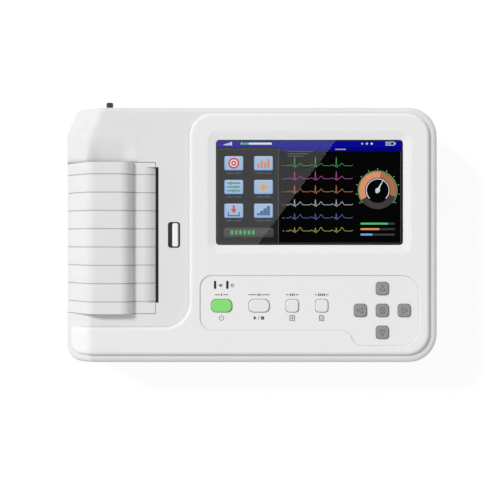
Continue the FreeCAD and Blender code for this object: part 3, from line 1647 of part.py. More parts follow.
def paper_cover():
    """Builds the hinged paper cover: grooved hump, lip with its paper ramp, platen ears and barrel."""
    cover = Piece("paper_cover")
    skirt_z = hump_top - size.hump_skirt
    slant = size.cover_wall * side_length / size.hump_side_drop
    lean = side_run / size.hump_side_drop
    lip_low = deck - size.lip_thickness
    lip_left = lip_end - size.lip_back
    inner_foot = side_foot_x + slant
    skirt_left = inner_foot + (skirt_z - side_foot_z) * lean
    crease = left + size.hump_crease
    outer = [
        (side_foot_x, side_foot_z, 0),
        (inner_foot, side_foot_z, 0),
        (skirt_left, skirt_z, 0),
        (lip_left, skirt_z, 0),
        (lip_left, lip_low, 0),
        (lip_end, lip_low, 0),
        (lip_end, deck, 0),
        (crease, deck, 0),
        (left + size.hump_end, hump_top, size.hump_radius),
        (left + size.hump_side, hump_top, size.hump_radius),
    ]
    cover.pad(cover.polygon(outer, "XZ_Plane"), cover_length, both_ways=True)
    barrel = cover.circles([(hinge_x, hinge_z)], size.barrel_radius, "XZ_Plane")
    cover.pad(barrel, cover_length, both_ways=True)
    inner_top = hump_top - size.cover_wall
    inner_right = crease - size.cover_wall
    hollow = [
        (inner_foot + (skirt_z - size.cover_wall - side_foot_z) * lean, skirt_z - size.cover_wall, 0),
        (inner_right, skirt_z - size.cover_wall, 0),
        (inner_right, deck, 0),
        (left + size.hump_end - size.cover_wall, inner_top, size.hump_radius - size.cover_wall),
        (inner_foot + (inner_top - side_foot_z) * lean, inner_top, size.hump_radius - size.cover_wall),
    ]
    cover.pocket(cover.polygon(hollow, "XZ_Plane"), cover_length - 2 * size.cover_wall, both_ways=True)
    ramp_start = lip_end - size.ramp_reach
    ramp_turn = lip_end - size.ramp_reach / 2
    ramp_end = lip_end + size.slot_width
    ramp_end_z = deck - size.ramp_sink - size.slot_width / 2
    ramp = [
        (ramp_start, deck + size.dip_entry_rise, 0),
        (ramp_turn, deck - size.ramp_ease, size.ramp_radius),
        (ramp_end, ramp_end_z, 0),
        (ramp_end, hump_top, 0),
        (ramp_start, hump_top, 0),
    ]
    cover.pocket(cover.polygon(ramp, "XZ_Plane", lift=cover_middle), slot_length, both_ways=True)
    ear = [
        (platen_x - size.ear_radius, lip_low + size.cover_wall / 2, 0),
        (platen_x - size.ear_radius, platen_z - size.ear_radius, size.ear_radius * size.round_share),
        (platen_x + size.ear_radius, platen_z - size.ear_radius, size.ear_radius * size.round_share),
        (platen_x + size.ear_radius, lip_low + size.cover_wall / 2, 0),
    ]
    for near in (ear_inner, -ear_outer):
        cover.pad(cover.polygon(ear, "XZ_Plane", lift=near + cover_middle), size.ear_thickness)
    gear_tip = size.gear_module * (size.platen_teeth / 2 + size.gear_addendum)
    relief_start = gear_near - size.gear_side_gap / 2
    relief = cover.circles(
        [(platen_x, platen_z)], gear_tip + size.gear_side_gap, "XZ_Plane", lift=relief_start + cover_middle
    )
    cover.pocket(relief, size.gear_width + size.gear_side_gap, backwards=True)
    bush_hole = cover.circles([(platen_x, platen_z)], size.bush_radius + size.bush_fit, "XZ_Plane")
    cover.pocket(bush_hole, cover_length, both_ways=True)
    pin_hole = cover.circles([(hinge_x, hinge_z)], size.hinge_pin_radius + size.hinge_fit, "XZ_Plane")
    cover.pocket(pin_hole, cover_length, both_ways=True)
    cut_slant = size.groove_depth * side_length / size.hump_side_drop
    groove_top = hump_top - size.groove_depth
    groove_radius = size.hump_radius - size.groove_depth
    lip_groove = deck - size.groove_depth
    groove_pitch = (cover_length - 2 * size.groove_margin) / (size.groove_count - 1)
    groove = [
        (side_foot_x + cut_slant + size.cover_gap * lean, side_foot_z + size.cover_gap, 0),
        (side_foot_x - size.cover_wall, side_foot_z + size.cover_gap, 0),
        (side_foot_x - size.cover_wall, hump_top + size.cover_wall, 0),
        (ramp_end, hump_top + size.cover_wall, 0),
        (ramp_end, ramp_end_z - size.groove_depth, 0),
        (ramp_turn, lip_groove - size.ramp_ease, size.ramp_radius),
        (ramp_start, lip_groove + size.dip_entry_rise, 0),
        (ramp_start, lip_groove, 0),
        (crease - size.groove_depth, lip_groove, 0),
        (left + size.hump_end - size.groove_depth, groove_top, groove_radius),
        (side_foot_x + cut_slant + (groove_top - side_foot_z) * lean, groove_top, groove_radius),
    ]
    first = size.groove_margin - cover_length / 2
    line = cover.polygon(groove, "XZ_Plane", lift=first)
    feature = cover.pocket(line, size.groove_width, both_ways=True)
    cover.repeat(feature, line, size.groove_count, groove_pitch)
    node("paper_cover", cover.at(y=cover_middle).body)


def ring(name, outer, inner, length, x, y, z, turn):
    """Builds a plain tube that starts at a point."""
    tube = Piece(name)
    profile = rectangle(inner, outer, 0, length)
    return tube.revolve(tube.polygon(profile, "XZ_Plane")).at(x, y, z, turn).body


def involute(angle):
    """Returns the involute function of an angle."""
    return math.tan(angle) - angle


def gear_shape(teeth, bore, turn):
    """Builds a spur gear with involute teeth, one of them centred at an angle."""
    module = size.gear_module.value
    pitch = module * teeth / 2
    base = pitch * math.cos(PRESSURE_ANGLE)
    tip = pitch + size.gear_addendum.value * module
    root = pitch - size.gear_dedendum.value * module
    half = math.pi / (2 * teeth) - size.gear_backlash.value / (2 * pitch)

    def flank(radius):
        lean = math.acos(min(1.0, base / radius)) if radius > base else 0.0
        return half + involute(PRESSURE_ANGLE) - involute(lean)

    def spot(radius, angle):
        return FreeCAD.Vector(radius * math.cos(angle), radius * math.sin(angle), 0)

    low = max(base, root) + TOLERANCE
    middle = (low + tip) / 2
    edges = []
    for index in range(int(teeth)):
        axis = turn + index * 2 * math.pi / teeth
        following = axis + 2 * math.pi / teeth
        rise = [spot(radius, axis - flank(radius)) for radius in (low, middle, tip)]
        fall = [spot(radius, axis + flank(radius)) for radius in (tip, middle, low)]
        foot = spot(root, axis - flank(low))
        heel = spot(root, axis + flank(low))
        next_foot = spot(root, following - flank(low))
        edges.append(Part.LineSegment(foot, rise[0]).toShape())
        edges.append(Part.Arc(*rise).toShape())
        edges.append(Part.Arc(rise[2], spot(tip, axis), fall[0]).toShape())
        edges.append(Part.Arc(*fall).toShape())
        edges.append(Part.LineSegment(fall[2], heel).toShape())
        edges.append(Part.Arc(heel, spot(root, (axis + following) / 2), next_foot).toShape())
    disc = Part.Face(Part.Wire(edges)).extrude(FreeCAD.Vector(0, 0, size.gear_width.value))
    if bore <= 0:
        return disc
    return disc.cut(Part.makeCylinder(bore, size.gear_width.value))


def bearing(from_x, from_z, to_x, to_z):
    """Returns the angle from one axis to another, seen from the front."""
    return math.atan2(to_z.value - from_z.value, to_x.value - from_x.value)


def gear(name, teeth, bore, turn, x, z):
    """Puts a gear on its axis, just outside the front bearing ear."""
    wheel = DOCUMENT.addObject("Part::Feature", name)
    wheel.Shape = gear_shape(teeth.value, bore, turn)
    return place(wheel, x, -gear_near, z, FreeCAD.Rotation(FreeCAD.Vector(1, 0, 0), 90))


def platen_drive():
    """Builds the platen with its bushes and gear, the idler on its axle, and the motor with its pinion."""
    shaft_front = gear_near + size.gear_width
    shaft_length = shaft_front + ear_outer
    axis = (platen_x, -shaft_front, platen_z, ALONG_Y)
    node("platen_shaft", rod("platen_shaft", size.platen_shaft_radius, shaft_length, *axis))
    rubber = ring(
        "platen_rubber",
        size.platen_radius,
        size.platen_shaft_radius,
        platen_length,
        platen_x,
        -platen_end,
        platen_z,
        ALONG_Y,
    )
    node("platen_rubber", rubber)
    bushes = []
    for index, y in enumerate((-ear_outer, ear_inner)):
        inner = size.platen_shaft_radius + size.running_fit
        spot = (platen_x, y, platen_z, ALONG_Y)
        bushes.append(ring(f"platen_bush_{index}", size.bush_radius, inner, size.ear_thickness, *spot))
    node("platen_bushes", group("platen_bushes", bushes))
    down = bearing(platen_x, platen_z, idler_x, idler_z)
    wheel = gear("platen_gear", size.platen_teeth, size.platen_shaft_radius.value, down, platen_x, platen_z)
    node("platen_gear", wheel)
    idler_turn = down + math.pi + math.pi / size.idler_teeth.value
    bore = size.idler_axle_radius.value + size.running_fit.value
    node("idler_gear", gear("idler_gear", size.idler_teeth, bore, idler_turn, idler_x, idler_z))
    across = bearing(idler_x, idler_z, pinion_x, pinion_z)
    step = 2 * math.pi / size.idler_teeth.value
    offset = (across - idler_turn) / step % 1.0
    pinion_step = 2 * math.pi / size.pinion_teeth.value
    pinion_turn = across + math.pi + pinion_step * (offset + 0.5)
    pinion_gear = gear("pinion_wheel", size.pinion_teeth, 0, pinion_turn, pinion_x, pinion_z)
    spindle = rod(
        "pinion_spindle",
        size.motor_shaft_radius,
        gear_near - ear_inner,
        pinion_x,
        -gear_near,
        pinion_z,
        ALONG_Y,
    )
    node("motor_pinion", fuse("motor_pinion", [pinion_gear, spindle]))
    axle = Piece("idler_axle")
    end = shaft_front + size.running_fit
    profile = [
        (0, 0, 0),
        (size.idler_axle_radius, 0, 0),
        (size.idler_axle_radius, end - ear_inner, 0),
        (size.idler_cap_radius, end - ear_inner, 0),
        (size.idler_cap_radius, end - ear_inner + size.idler_cap, 0),
        (0, end - ear_inner + size.idler_cap, 0),
    ]
    axle.revolve(axle.polygon(profile, "XZ_Plane"))
    outward = FreeCAD.Rotation(FreeCAD.Vector(1, 0, 0), 90)
    node("idler_axle", axle.at(idler_x, -ear_inner, idler_z, outward).body)
    motor = Piece("drive_motor")
    hole = size.motor_shaft_radius + size.running_fit
    can = [
        (hole, 0, 0),
        (size.motor_radius, 0, size.motor_edge),
        (size.motor_radius, size.motor_length, size.motor_edge),
        (hole, size.motor_length, 0),
    ]
    motor.revolve(motor.polygon(can, "XZ_Plane"))
    node("drive_motor", motor.at(pinion_x, -ear_inner, pinion_z, ALONG_Y).body)


def printer_frame():
    """Builds the printer's frame: two cheeks, a floor and the bar behind the print head."""
    frame = Piece("printer_frame")
    cheek_left = left + size.frame_left
    cheek_right = left + size.frame_right
    cheek_top = platen_z - size.ear_radius - size.frame_top_gap
    riser = left + size.riser_left
    riser_top = deck - size.riser_top
    cheek = [
        (cheek_left, floor, 0),
        (cheek_right, floor, 0),
        (cheek_right, cheek_top, size.window_radius),
        (bar_face + size.frame_plate, cheek_top, size.window_radius),
        (bar_face + size.frame_plate, riser_top, 0),
        (riser, riser_top, 0),
        (riser, cheek_top, size.window_radius),
        (cheek_left, cheek_top, size.window_radius),
    ]
    plate = rectangle(cheek_left, cheek_right, floor, floor + size.frame_plate)
    frame.pad(frame.polygon(plate, "XZ_Plane"), 2 * ear_outer, both_ways=True)
    for near in (ear_inner, -ear_outer):
        frame.pad(frame.polygon(cheek, "XZ_Plane", lift=near), size.ear_thickness)
    bar = rectangle(bar_face, bar_face + size.frame_plate, cheek_top, riser_top)
    frame.pad(frame.polygon(bar, "XZ_Plane"), 2 * ear_inner, both_ways=True)
    axle_hole = size.idler_axle_radius + size.bush_fit
    axle = frame.circles([(idler_x, idler_z)], axle_hole, "XZ_Plane", lift=ear_inner)
    frame.pocket(axle, size.ear_thickness, backwards=True)
    shaft_hole = size.motor_boss_radius
    motor = frame.circles([(pinion_x, pinion_z)], shaft_hole, "XZ_Plane", lift=ear_inner)
    frame.pocket(motor, size.ear_thickness, backwards=True)
    node("printer_frame", frame.body)


def print_head():
    """Builds the print head, its finned heat sink, its leaf spring and the tear bar."""
    head = Piece("print_head")
    plate = rectangle(head_face, head_back, head_bottom, head_top)
    head.pad(head.polygon(plate, "XZ_Plane"), head_length, both_ways=True)
    node("print_head", head.body)
    sink = Piece("head_heat_sink")
    block = rectangle(head_back, sink_back, head_bottom, head_top)
    sink.pad(sink.polygon(block, "XZ_Plane"), head_length, both_ways=True)
    for index in range(int(size.sink_fin_count.value)):
        low = head_bottom + size.sink_fin + index * size.sink_fin_pitch
        slot = rectangle(sink_back - size.sink_fin, sink_back + size.sink_fin, low, low + size.sink_fin)
        sink.pocket(sink.polygon(slot, "XZ_Plane"), head_length * 2, both_ways=True)
    node("head_heat_sink", sink.body)
    leaf = Piece("head_spring")
    thick = size.head_spring_thickness
    middle = (head_bottom + head_top) / 2
    reach = size.head_height / 3
    strip = [
        (bar_face - thick, middle - reach, 0),
        (bar_face, middle - reach, 0),
        (sink_back + thick, middle, thick * 2),
        (bar_face, middle + reach, 0),
        (bar_face - thick, middle + reach, 0),
        (sink_back, middle, thick * 3),
    ]
    leaf.pad(leaf.polygon(strip, "XZ_Plane"), size.head_spring_width, both_ways=True)
    node("head_spring", leaf.body)
    bar = Piece("tear_bar")
    blade = rectangle(slot_right - size.tear_thickness, slot_right, deck - size.tear_depth, deck)
    bar.pad(bar.polygon(blade, "XZ_Plane"), slot_length, both_ways=True)
    first = -size.tear_pitch * (size.tear_count - 1) / 2
    notch = [
        (first - size.tear_tooth, deck + size.tear_thickness, 0),
        (first, deck - size.tear_tooth, 0),
        (first + size.tear_tooth, deck + size.tear_thickness, 0),
    ]
    outline = bar.polygon(notch, "YZ_Plane", lift=slot_right + size.tear_thickness)
    feature = bar.pocket(outline, 3 * size.tear_thickness)
    bar.repeat(feature, outline, size.tear_count, size.tear_pitch, "H_Axis")
    node("tear_bar", bar.body)


def paper_supply():
    """Builds the paper tray and the roll on its core and spindle."""
    tray = Piece("paper_tray")
    low_x = left + size.tray_left
    high_x = low_x + size.tray_width
    wall = size.tray_wall
    trough = [
        (low_x, size.tray_top, 0),
        (low_x, size.tray_bottom, size.tray_radius),
        (high_x, size.tray_bottom, size.tray_radius),
        (high_x, size.tray_top, 0),
        (high_x - wall, size.tray_top, 0),
        (high_x - wall, size.tray_bottom + wall, size.tray_radius - wall),
        (low_x + wall, size.tray_bottom + wall, size.tray_radius - wall),
        (low_x + wall, size.tray_top, 0),
    ]
    tray.pad(tray.polygon(trough, "XZ_Plane"), 2 * tray_outer, both_ways=True)
    slot = size.spindle_journal + size.spindle_fit
    seat = size.roll_height - slot
    end = [
        (low_x, floor, 0),
        (high_x, floor, 0),
        (high_x, size.tray_top, 0),
        (roll_x + slot, size.tray_top, 0),
        (roll_x + slot, seat, slot * size.round_share),
        (roll_x - slot, seat, slot * size.round_share),
        (roll_x - slot, size.tray_top, 0),
        (low_x, size.tray_top, 0),
    ]
    for near in (tray_inner, -tray_outer):
        tray.pad(tray.polygon(end, "XZ_Plane", lift=near), size.tray_end)
    node("paper_tray", tray.body)
    axis = (roll_x, -roll_end, size.roll_height, ALONG_Y)
    roll = ring("paper_roll", size.roll_radius, size.core_radius, size.paper_width, *axis)
    node("paper_roll", roll)
    bore = size.core_radius - size.core_wall
    node("paper_core", ring("paper_core", size.core_radius, bore, size.paper_width, *axis))
    spindle = Piece("paper_spindle")
    body = bore - size.core_fit
    end_reach = tray_outer - roll_end
    profile = [
        (0, -end_reach, 0),
        (size.spindle_journal, -end_reach, size.seam_chamfer),
        (size.spindle_journal, -(size.tray_end_gap - size.seat_fit), 0),
        (body, -(size.tray_end_gap - size.seat_fit), 0),
        (body, size.paper_width + size.tray_end_gap - size.seat_fit, 0),
        (size.spindle_journal, size.paper_width + size.tray_end_gap - size.seat_fit, 0),
        (size.spindle_journal, size.paper_width + end_reach, size.seam_chamfer),
        (0, size.paper_width + end_reach, 0),
    ]
    spindle.revolve(spindle.polygon(profile, "XZ_Plane"))
    node("paper_spindle", spindle.at(*axis).body)


def latch():
    """Builds the cover latch: the lever in its slot and the bar under the deck."""
    bar_top = deck_under - size.latch_bar_gap
    lever_x = latch_x + size.latch_lever_shift
    lever_length = size.latch_slot_length - 2 * size.latch_lever_gap
    lever_plan = centred(
        lever_x, 0, size.latch_lever_width, lever_length, size.latch_lever_corner
    )
    lever = Piece("latch_button")
    lever.pad(lever.polygon(lever_plan, lift=bar_top), deck - size.latch_lever_sink - bar_top)
    lever.soften(size.latch_lever_edge, ridge)
    node("latch_button", lever.body)
    low_x = latch_x - size.latch_bar_left
    high_x = latch_x + size.latch_bar_right
    nose = lip_end + size.latch_nose_gap
    middle = size.latch_slot_length / 2 + size.case_wall
    plan = [
        (low_x, ear_inner, 0),
        (nose, ear_inner, 0),
        (nose, ear_outer, 0),
        (low_x + size.latch_bar_right, ear_outer, 0),
        (low_x + size.latch_bar_right, middle, size.window_radius),
        (high_x, middle, size.window_radius),
        (high_x, -middle, size.window_radius),
        (low_x + size.latch_bar_right, -middle, size.window_radius),
        (low_x + size.latch_bar_right, -ear_outer, 0),
        (nose, -ear_outer, 0),
        (nose, -ear_inner, 0),
        (low_x, -ear_inner, 0),
    ]
    bar = Piece("latch_bar")
    outline = bar.polygon(plan, lift=bar_top - size.latch_bar_thickness)
    node("latch_bar", bar.pad(outline, size.latch_bar_thickness).body)


def check_document():
    """Stops where an object failed or a sub-part has no sound shape."""
    DOCUMENT.recompute()
    for item in DOCUMENT.Objects:
        if "Invalid" in item.State or "Error" in item.State:
            raise ValueError(f"{item.Name} failed: {item.State}")
    for item in NODES:
        if item.Shape.isNull() or not item.Shape.isValid() or not item.Shape.Solids:
            raise ValueError(f"{item.Label} has no sound solid")


def write_parts():
    """Writes each sub-part to its own file."""
    os.makedirs("parts", exist_ok=True)
    for item in NODES:
        item.Shape.exportStep(f"parts/{item.Label}.step")
        print(f"{item.Label}: {len(item.Shape.Solids)} solids, {item.Shape.Volume:.0f} cubic millimetres")


BUILDERS = (
    base_case,
    top_case,
    front_panel,
    key_overlay,
    screen,
    keys,
    status_lenses,
    key_board,
    screws_and_feet,
    boards,
    battery,
    mains_inlet,
    ground_post,
    lead_socket,
    usb_sockets,
    paper_cover,
    platen_drive,
    printer_frame,
    print_head,
    paper_supply,
    latch,
)
for build in BUILDERS:
    build()
check_document()
write_parts()
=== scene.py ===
import logging
import math
from collections.abc import Mapping, Sequence
from dataclasses import dataclass, field
from enum import Enum
from typing import Any

import bmesh
import bpy
import numpy as np
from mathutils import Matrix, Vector


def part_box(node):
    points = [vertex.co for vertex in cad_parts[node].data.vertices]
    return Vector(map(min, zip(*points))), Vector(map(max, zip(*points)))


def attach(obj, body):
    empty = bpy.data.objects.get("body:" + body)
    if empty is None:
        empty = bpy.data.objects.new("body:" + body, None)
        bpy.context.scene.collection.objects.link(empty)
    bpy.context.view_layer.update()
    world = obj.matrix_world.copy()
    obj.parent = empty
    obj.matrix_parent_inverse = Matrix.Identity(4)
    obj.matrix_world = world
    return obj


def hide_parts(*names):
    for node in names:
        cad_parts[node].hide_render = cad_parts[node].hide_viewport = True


# A desktop electrocardiograph on a pale studio floor, seen straight from above.
# Lengths are in metres in the machine's own frame; sizes written in millimetres are multiplied by MM.
# The flat drawings on the screen, the film and the keys are laid out in millimetres.

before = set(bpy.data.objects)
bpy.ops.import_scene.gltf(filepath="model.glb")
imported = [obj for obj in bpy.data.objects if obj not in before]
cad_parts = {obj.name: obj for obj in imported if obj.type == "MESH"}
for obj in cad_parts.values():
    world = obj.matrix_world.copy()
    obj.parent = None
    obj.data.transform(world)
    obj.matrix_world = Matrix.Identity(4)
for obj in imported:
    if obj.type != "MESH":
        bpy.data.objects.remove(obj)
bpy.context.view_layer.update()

LOG = logging.getLogger("electrocardiograph")
MM = 0.001
BLACK = (0.0, 0.0, 0.0)
WHITE = (1.0, 1.0, 1.0)
Array = np.ndarray
Colour = tuple[float, float, float]
Point = Sequence[float]


def grey(level: float) -> Colour:
    """Returns the neutral colour of a level from 0 to 1."""
    return (level, level, level)


def shaded(colour: Colour, factor: float) -> Colour:
    """Returns a colour made lighter or darker."""
    return tuple(min(1.0, part * factor) for part in colour)


def toward(degrees: float | Array) -> Array:
    """Returns the level direction at an angle, or one for each of several angles."""
    turn = np.radians(degrees)
    return np.stack([np.cos(turn), np.sin(turn)], axis=-1)


class Wire:
    """A shader socket that joins in Python arithmetic; each operation adds a Math node."""

    def __init__(self, graph: "Graph", socket: bpy.types.NodeSocket) -> None:
        """Holds one output socket of a graph."""
        self.graph = graph
        self.socket = socket

    def _math(self, operation: str, first: "Wire | float", second: "Wire | float" = 0.0) -> "Wire":
        """Adds one Math node and returns its result."""
        return self.graph.add("ShaderNodeMath", {"operation": operation}, {0: first, 1: second})

    def __add__(self, other: "Wire | float") -> "Wire":
        """Returns the sum."""
        return self._math("ADD", self, other)

    def __sub__(self, other: "Wire | float") -> "Wire":
        """Returns the difference."""
        return self._math("SUBTRACT", self, other)

    def __rsub__(self, other: float) -> "Wire":
        """Returns a number less this value."""
        return self._math("SUBTRACT", other, self)

    def __mul__(self, other: "Wire | float") -> "Wire":
        """Returns the product."""
        return self._math("MULTIPLY", self, other)

    def __truediv__(self, other: "Wire | float") -> "Wire":
        """Returns the quotient."""
        return self._math("DIVIDE", self, other)

    def __pow__(self, other: float) -> "Wire":
        """Returns this value raised to a power."""
        return self._math("POWER", self, other)

    def __mod__(self, other: float) -> "Wire":
        """Returns the remainder, which is never negative."""
        return self._math("FLOORED_MODULO", self, other)

    def __abs__(self) -> "Wire":
        """Returns the size without its sign."""
        return self._math("ABSOLUTE", self)

    def __gt__(self, other: "Wire | float") -> "Wire":
        """Returns 1 where this value is the larger, and 0 elsewhere."""
        return self._math("GREATER_THAN", self, other)

    def __lt__(self, other: "Wire | float") -> "Wire":
        """Returns 1 where this value is the smaller, and 0 elsewhere."""
        return self._math("LESS_THAN", self, other)

    __radd__ = __add__
    __rmul__ = __mul__

    def at_most(self, other: "Wire | float") -> "Wire":
        """Returns the smaller of two values."""
        return self._math("MINIMUM", self, other)

    def at_least(self, other: "Wire | float") -> "Wire":
        """Returns the larger of two values."""
        return self._math("MAXIMUM", self, other)

    def angle(self, other: "Wire | float") -> "Wire":
        """Returns the angle of the point whose height is this value and whose reach is the other."""
        return self._math("ARCTAN2", self, other)

    def off_middle(self) -> "Wire":
        """Returns how far a value lies from the middle of its whole step, from 0 to a half."""
        return abs(self % 1.0 - 0.5)

    def eased(self, low: float, high: float) -> "Wire":
        """Returns a smooth step from 0 at the low value to 1 at the high one."""
        settings = {"interpolation_type": "SMOOTHSTEP"}
        return self.graph.add("ShaderNodeMapRange", settings, {"Value": self, 1: low, 2: high})


class Graph:
    """The node tree of one material or of the world."""

    def __init__(self, owner: bpy.types.Material | bpy.types.World) -> None:
        """Turns on a node tree and empties it.

        Args:
            owner: The material or the world that the tree belongs to.
        """
        owner.use_nodes = True
        self.tree = owner.node_tree
        self.tree.nodes.clear()

    def add(
        self,
        kind: str,
        settings: Mapping[str, Any] | None = None,
        inputs: Mapping[str | int, Any] | None = None,
        output: str | int = 0,
    ) -> Wire:
        """Adds a node.

        Args:
            kind: The node's type.
            settings: Its properties, set first.
            inputs: Values or wires for its sockets; None leaves a socket as it is.
            output: The socket that is returned.

        Returns:
            The chosen output.
        """
        node = self.tree.nodes.new(kind)
        for name, value in (settings or {}).items():
            setattr(node, name, value)
        for name, value in (inputs or {}).items():
            if isinstance(value, Wire):
                self.tree.links.new(value.socket, node.inputs[name])
            elif value is not None:
                is_colour = node.inputs[name].type == "RGBA" and len(value) == 3
                node.inputs[name].default_value = (*value, 1.0) if is_colour else value
        return Wire(self, node.outputs[output] if node.outputs else None)

    def place(self) -> Wire:
        """Returns the point on the surface in the machine's frame."""
        return self.add("ShaderNodeTexCoord", output="Object")

    def normal(self) -> Wire:
        """Returns the solid's own normal."""
        return self.add("ShaderNodeNewGeometry", output="Normal")

    def stretched(self, point: Wire, scale: Sequence[float]) -> Wire:
        """Returns a point scaled along each axis."""
        return self.add("ShaderNodeMapping", {}, {"Vector": point, "Scale": scale})

    def axes(self, point: Wire) -> tuple[Wire, Wire, Wire]:
        """Returns the three parts of a vector."""
        parts = self.add("ShaderNodeSeparateXYZ", {}, {0: point}).socket.node.outputs
        return tuple(Wire(self, part) for part in parts)

    def noise(self, point: Wire, size: float, detail: float = 2.0, roughness: float = 0.5) -> Wire:
        """Returns smooth noise from 0 to 1 with features of a size in metres."""
        inputs = {"Vector": point, "Scale": 1.0 / size, "Detail": detail, "Roughness": roughness}
        return self.add("ShaderNodeTexNoise", {}, inputs)

    def cells(self, point: Wire, size: float, feature: str = "F1") -> Wire:
        """Returns the distance field of scattered cells of a size in metres."""
        inputs = {"Vector": point, "Scale": 1.0 / size}
        return self.add("ShaderNodeTexVoronoi", {"feature": feature}, inputs)

    def blend(self, share: Wire | float, first: Wire | Colour, second: Wire | Colour) -> Wire:
        """Returns a colour between two, by a share from 0 to 1."""
        inputs = {"Factor": share, 6: first, 7: second}
        return self.add("ShaderNodeMix", {"data_type": "RGBA"}, inputs, output=2)

    def mottled(self, share: Wire, colour: Colour, dark: float, light: float) -> Wire:
        """Returns a colour that runs from a darker to a lighter shade of itself by a share."""
        return self.blend(share, shaded(colour, dark), shaded(colour, light))

    def bump(self, height: Wire, depth: float, normal: Wire | None = None) -> Wire:
        """Returns a normal raised by a height from 0 to 1 over a depth in metres."""
        inputs = {"Height": height, "Distance": depth, "Strength": 1.0, "Normal": normal}
        return self.add("ShaderNodeBump", {}, inputs)

    def edges(self, radius: float, gain: float = 5.0) -> Wire:
        """Finds sharp edges by comparing a rounded normal with the true one.

        Args:
            radius: How far from an edge the surface counts as part of it.
            gain: How soon the difference counts as a whole edge.

        Returns:
            A value that is 1 on sharp edges and 0 on flat faces.
        """
        rounded = self.add("ShaderNodeBevel", {"samples": 4}, {"Radius": radius})
        settings = {"operation": "DOT_PRODUCT"}
        match = self.add("ShaderNodeVectorMath", settings, {0: rounded, 1: self.normal()}, output="Value")
        return ((1 - match) * gain).at_most(1.0)

    def corners(self, reach: float) -> Wire:
        """Returns how far a point is closed in by surfaces within a reach, from 0 to 1."""
        settings = {"samples": 6, "only_local": False}
        return 1 - self.add("ShaderNodeAmbientOcclusion", settings, {"Distance": reach}, output="AO")

    def principled(self, inputs: Mapping[str, Any]) -> Wire:
        """Returns a layered surface shader."""
        return self.add("ShaderNodeBsdfPrincipled", {}, inputs)

    def finish(self, shader: Wire, kind: str = "ShaderNodeOutputMaterial") -> None:
        """Ends the tree in a shader."""
        self.add(kind, {}, {"Surface": shader})


@dataclass(frozen=True)
class Finish:
    """A surface finish, which makes its material once."""

    name: str

    def shader(self, graph: Graph) -> Wire:
        """Returns the finish's shader in a graph."""
        raise NotImplementedError

    def material(self) -> bpy.types.Material:
        """Makes the finish's material at its first use.

        Returns:
            The material, which every later use shares.
        """
        name = f"{self.name}_finish"
        found = bpy.data.materials.get(name)
        if found is None:
            found = bpy.data.materials.new(name)
            graph = Graph(found)
            graph.finish(self.shader(graph))
        return found

    def dress(self, *names: str) -> None:
        """Puts the finish on solids of the machine.

        Args:
            names: The solids' names.
        """
        for name in names:
            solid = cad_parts[name]
            if not solid.material_slots:
                solid.data.materials.append(None)
            for slot in solid.material_slots:
                slot.material = self.material()
            LOG.info("%s wears %s", name, self.name)


@dataclass(frozen=True)
class MouldedPlastic(Finish):
    """Satin moulded plastic: eroded mould grain, flow shading, polished edges and painted shade in corners
    and creases.
    """

    colour: Colour = (0.8, 0.8, 0.8)
    roughness: float = 0.42
    grain: float = 0.5 * MM
    depth: float = 0.008 * MM
    # How strongly the painted shade darkens corners and creases.
    corner_shade: float = 0.6
    polish: float = 0.2
    flow_size: float = 60 * MM
    touch_size: float = 16 * MM
    edge_size: float = 0.7 * MM
    hollow_size: float = 6 * MM
    seam_size: float = 1 * MM

    def shader(self, graph: Graph) -> Wire:
        """Builds the plastic's shader.

        Args:
            graph: The material's nodes.

        Returns:
            The shader.
        """
        place = graph.place()
        flow = graph.noise(place, self.flow_size, detail=3.0)
        handled = graph.noise(place, self.touch_size, detail=4.0, roughness=0.6)
        edges = graph.edges(self.edge_size)
        # Painted shade: the colour darkens where nearby surfaces close in, in corners, creases and at the
        # feet of steps.
        painted_shade = graph.corners(self.hollow_size) * 0.12 + graph.corners(self.seam_size)
        colour = graph.mottled(flow, self.colour, dark=0.985, light=1.012)
        colour = graph.blend((painted_shade * self.corner_shade).at_most(1.0), colour, shaded(self.colour, 0.22))
        colour = graph.blend(edges * self.polish, colour, shaded(self.colour, 1.08))
        roughness = self.roughness + (handled - 0.5) * 0.14 - edges * 0.1
        grain = graph.noise(place, self.grain, detail=1.0)
        normal = graph.bump(grain, self.depth, self.form(graph, place))
        return graph.principled({"Base Color": colour, "Roughness": roughness, "Normal": normal})

    def form(self, graph: Graph, place: Wire) -> Wire | None:
        """Returns the normal under the grain, or nothing where it is the solid's own."""
        return None


@dataclass(frozen=True)
class BlendedPlastic(MouldedPlastic):
    """Moulded plastic whose creases run into each other softly inside a zone of the machine.

    The zone is level: its fields are the lowest and highest places across and along, and the margin over
    which the blend fades out at its border.
    """

    radius: float = 8 * MM
    across: tuple[float, float] = (-160 * MM, -80 * MM)
    along: tuple[float, float] = (60 * MM, 100 * MM)
    margin: float = 5 * MM

    def form(self, graph: Graph, place: Wire) -> Wire | None:
        """Averages the solid's normal with its neighbours' inside the zone.

        Args:
            graph: The material's nodes.
            place: The point on the surface.

        Returns:
            The softened normal.
        """
        share: Wire | float = 1.0
        for value, (low, high) in zip(graph.axes(place), (self.across, self.along)):
            share = value.eased(low, low + self.margin) * (1 - value.eased(high - self.margin, high)) * share
        soft = graph.add("ShaderNodeBevel", {"samples": 8}, {"Radius": self.radius})
        inputs = {"Factor": share, 4: graph.normal(), 5: soft}
        return graph.add("ShaderNodeMix", {"data_type": "VECTOR"}, inputs, output=1)


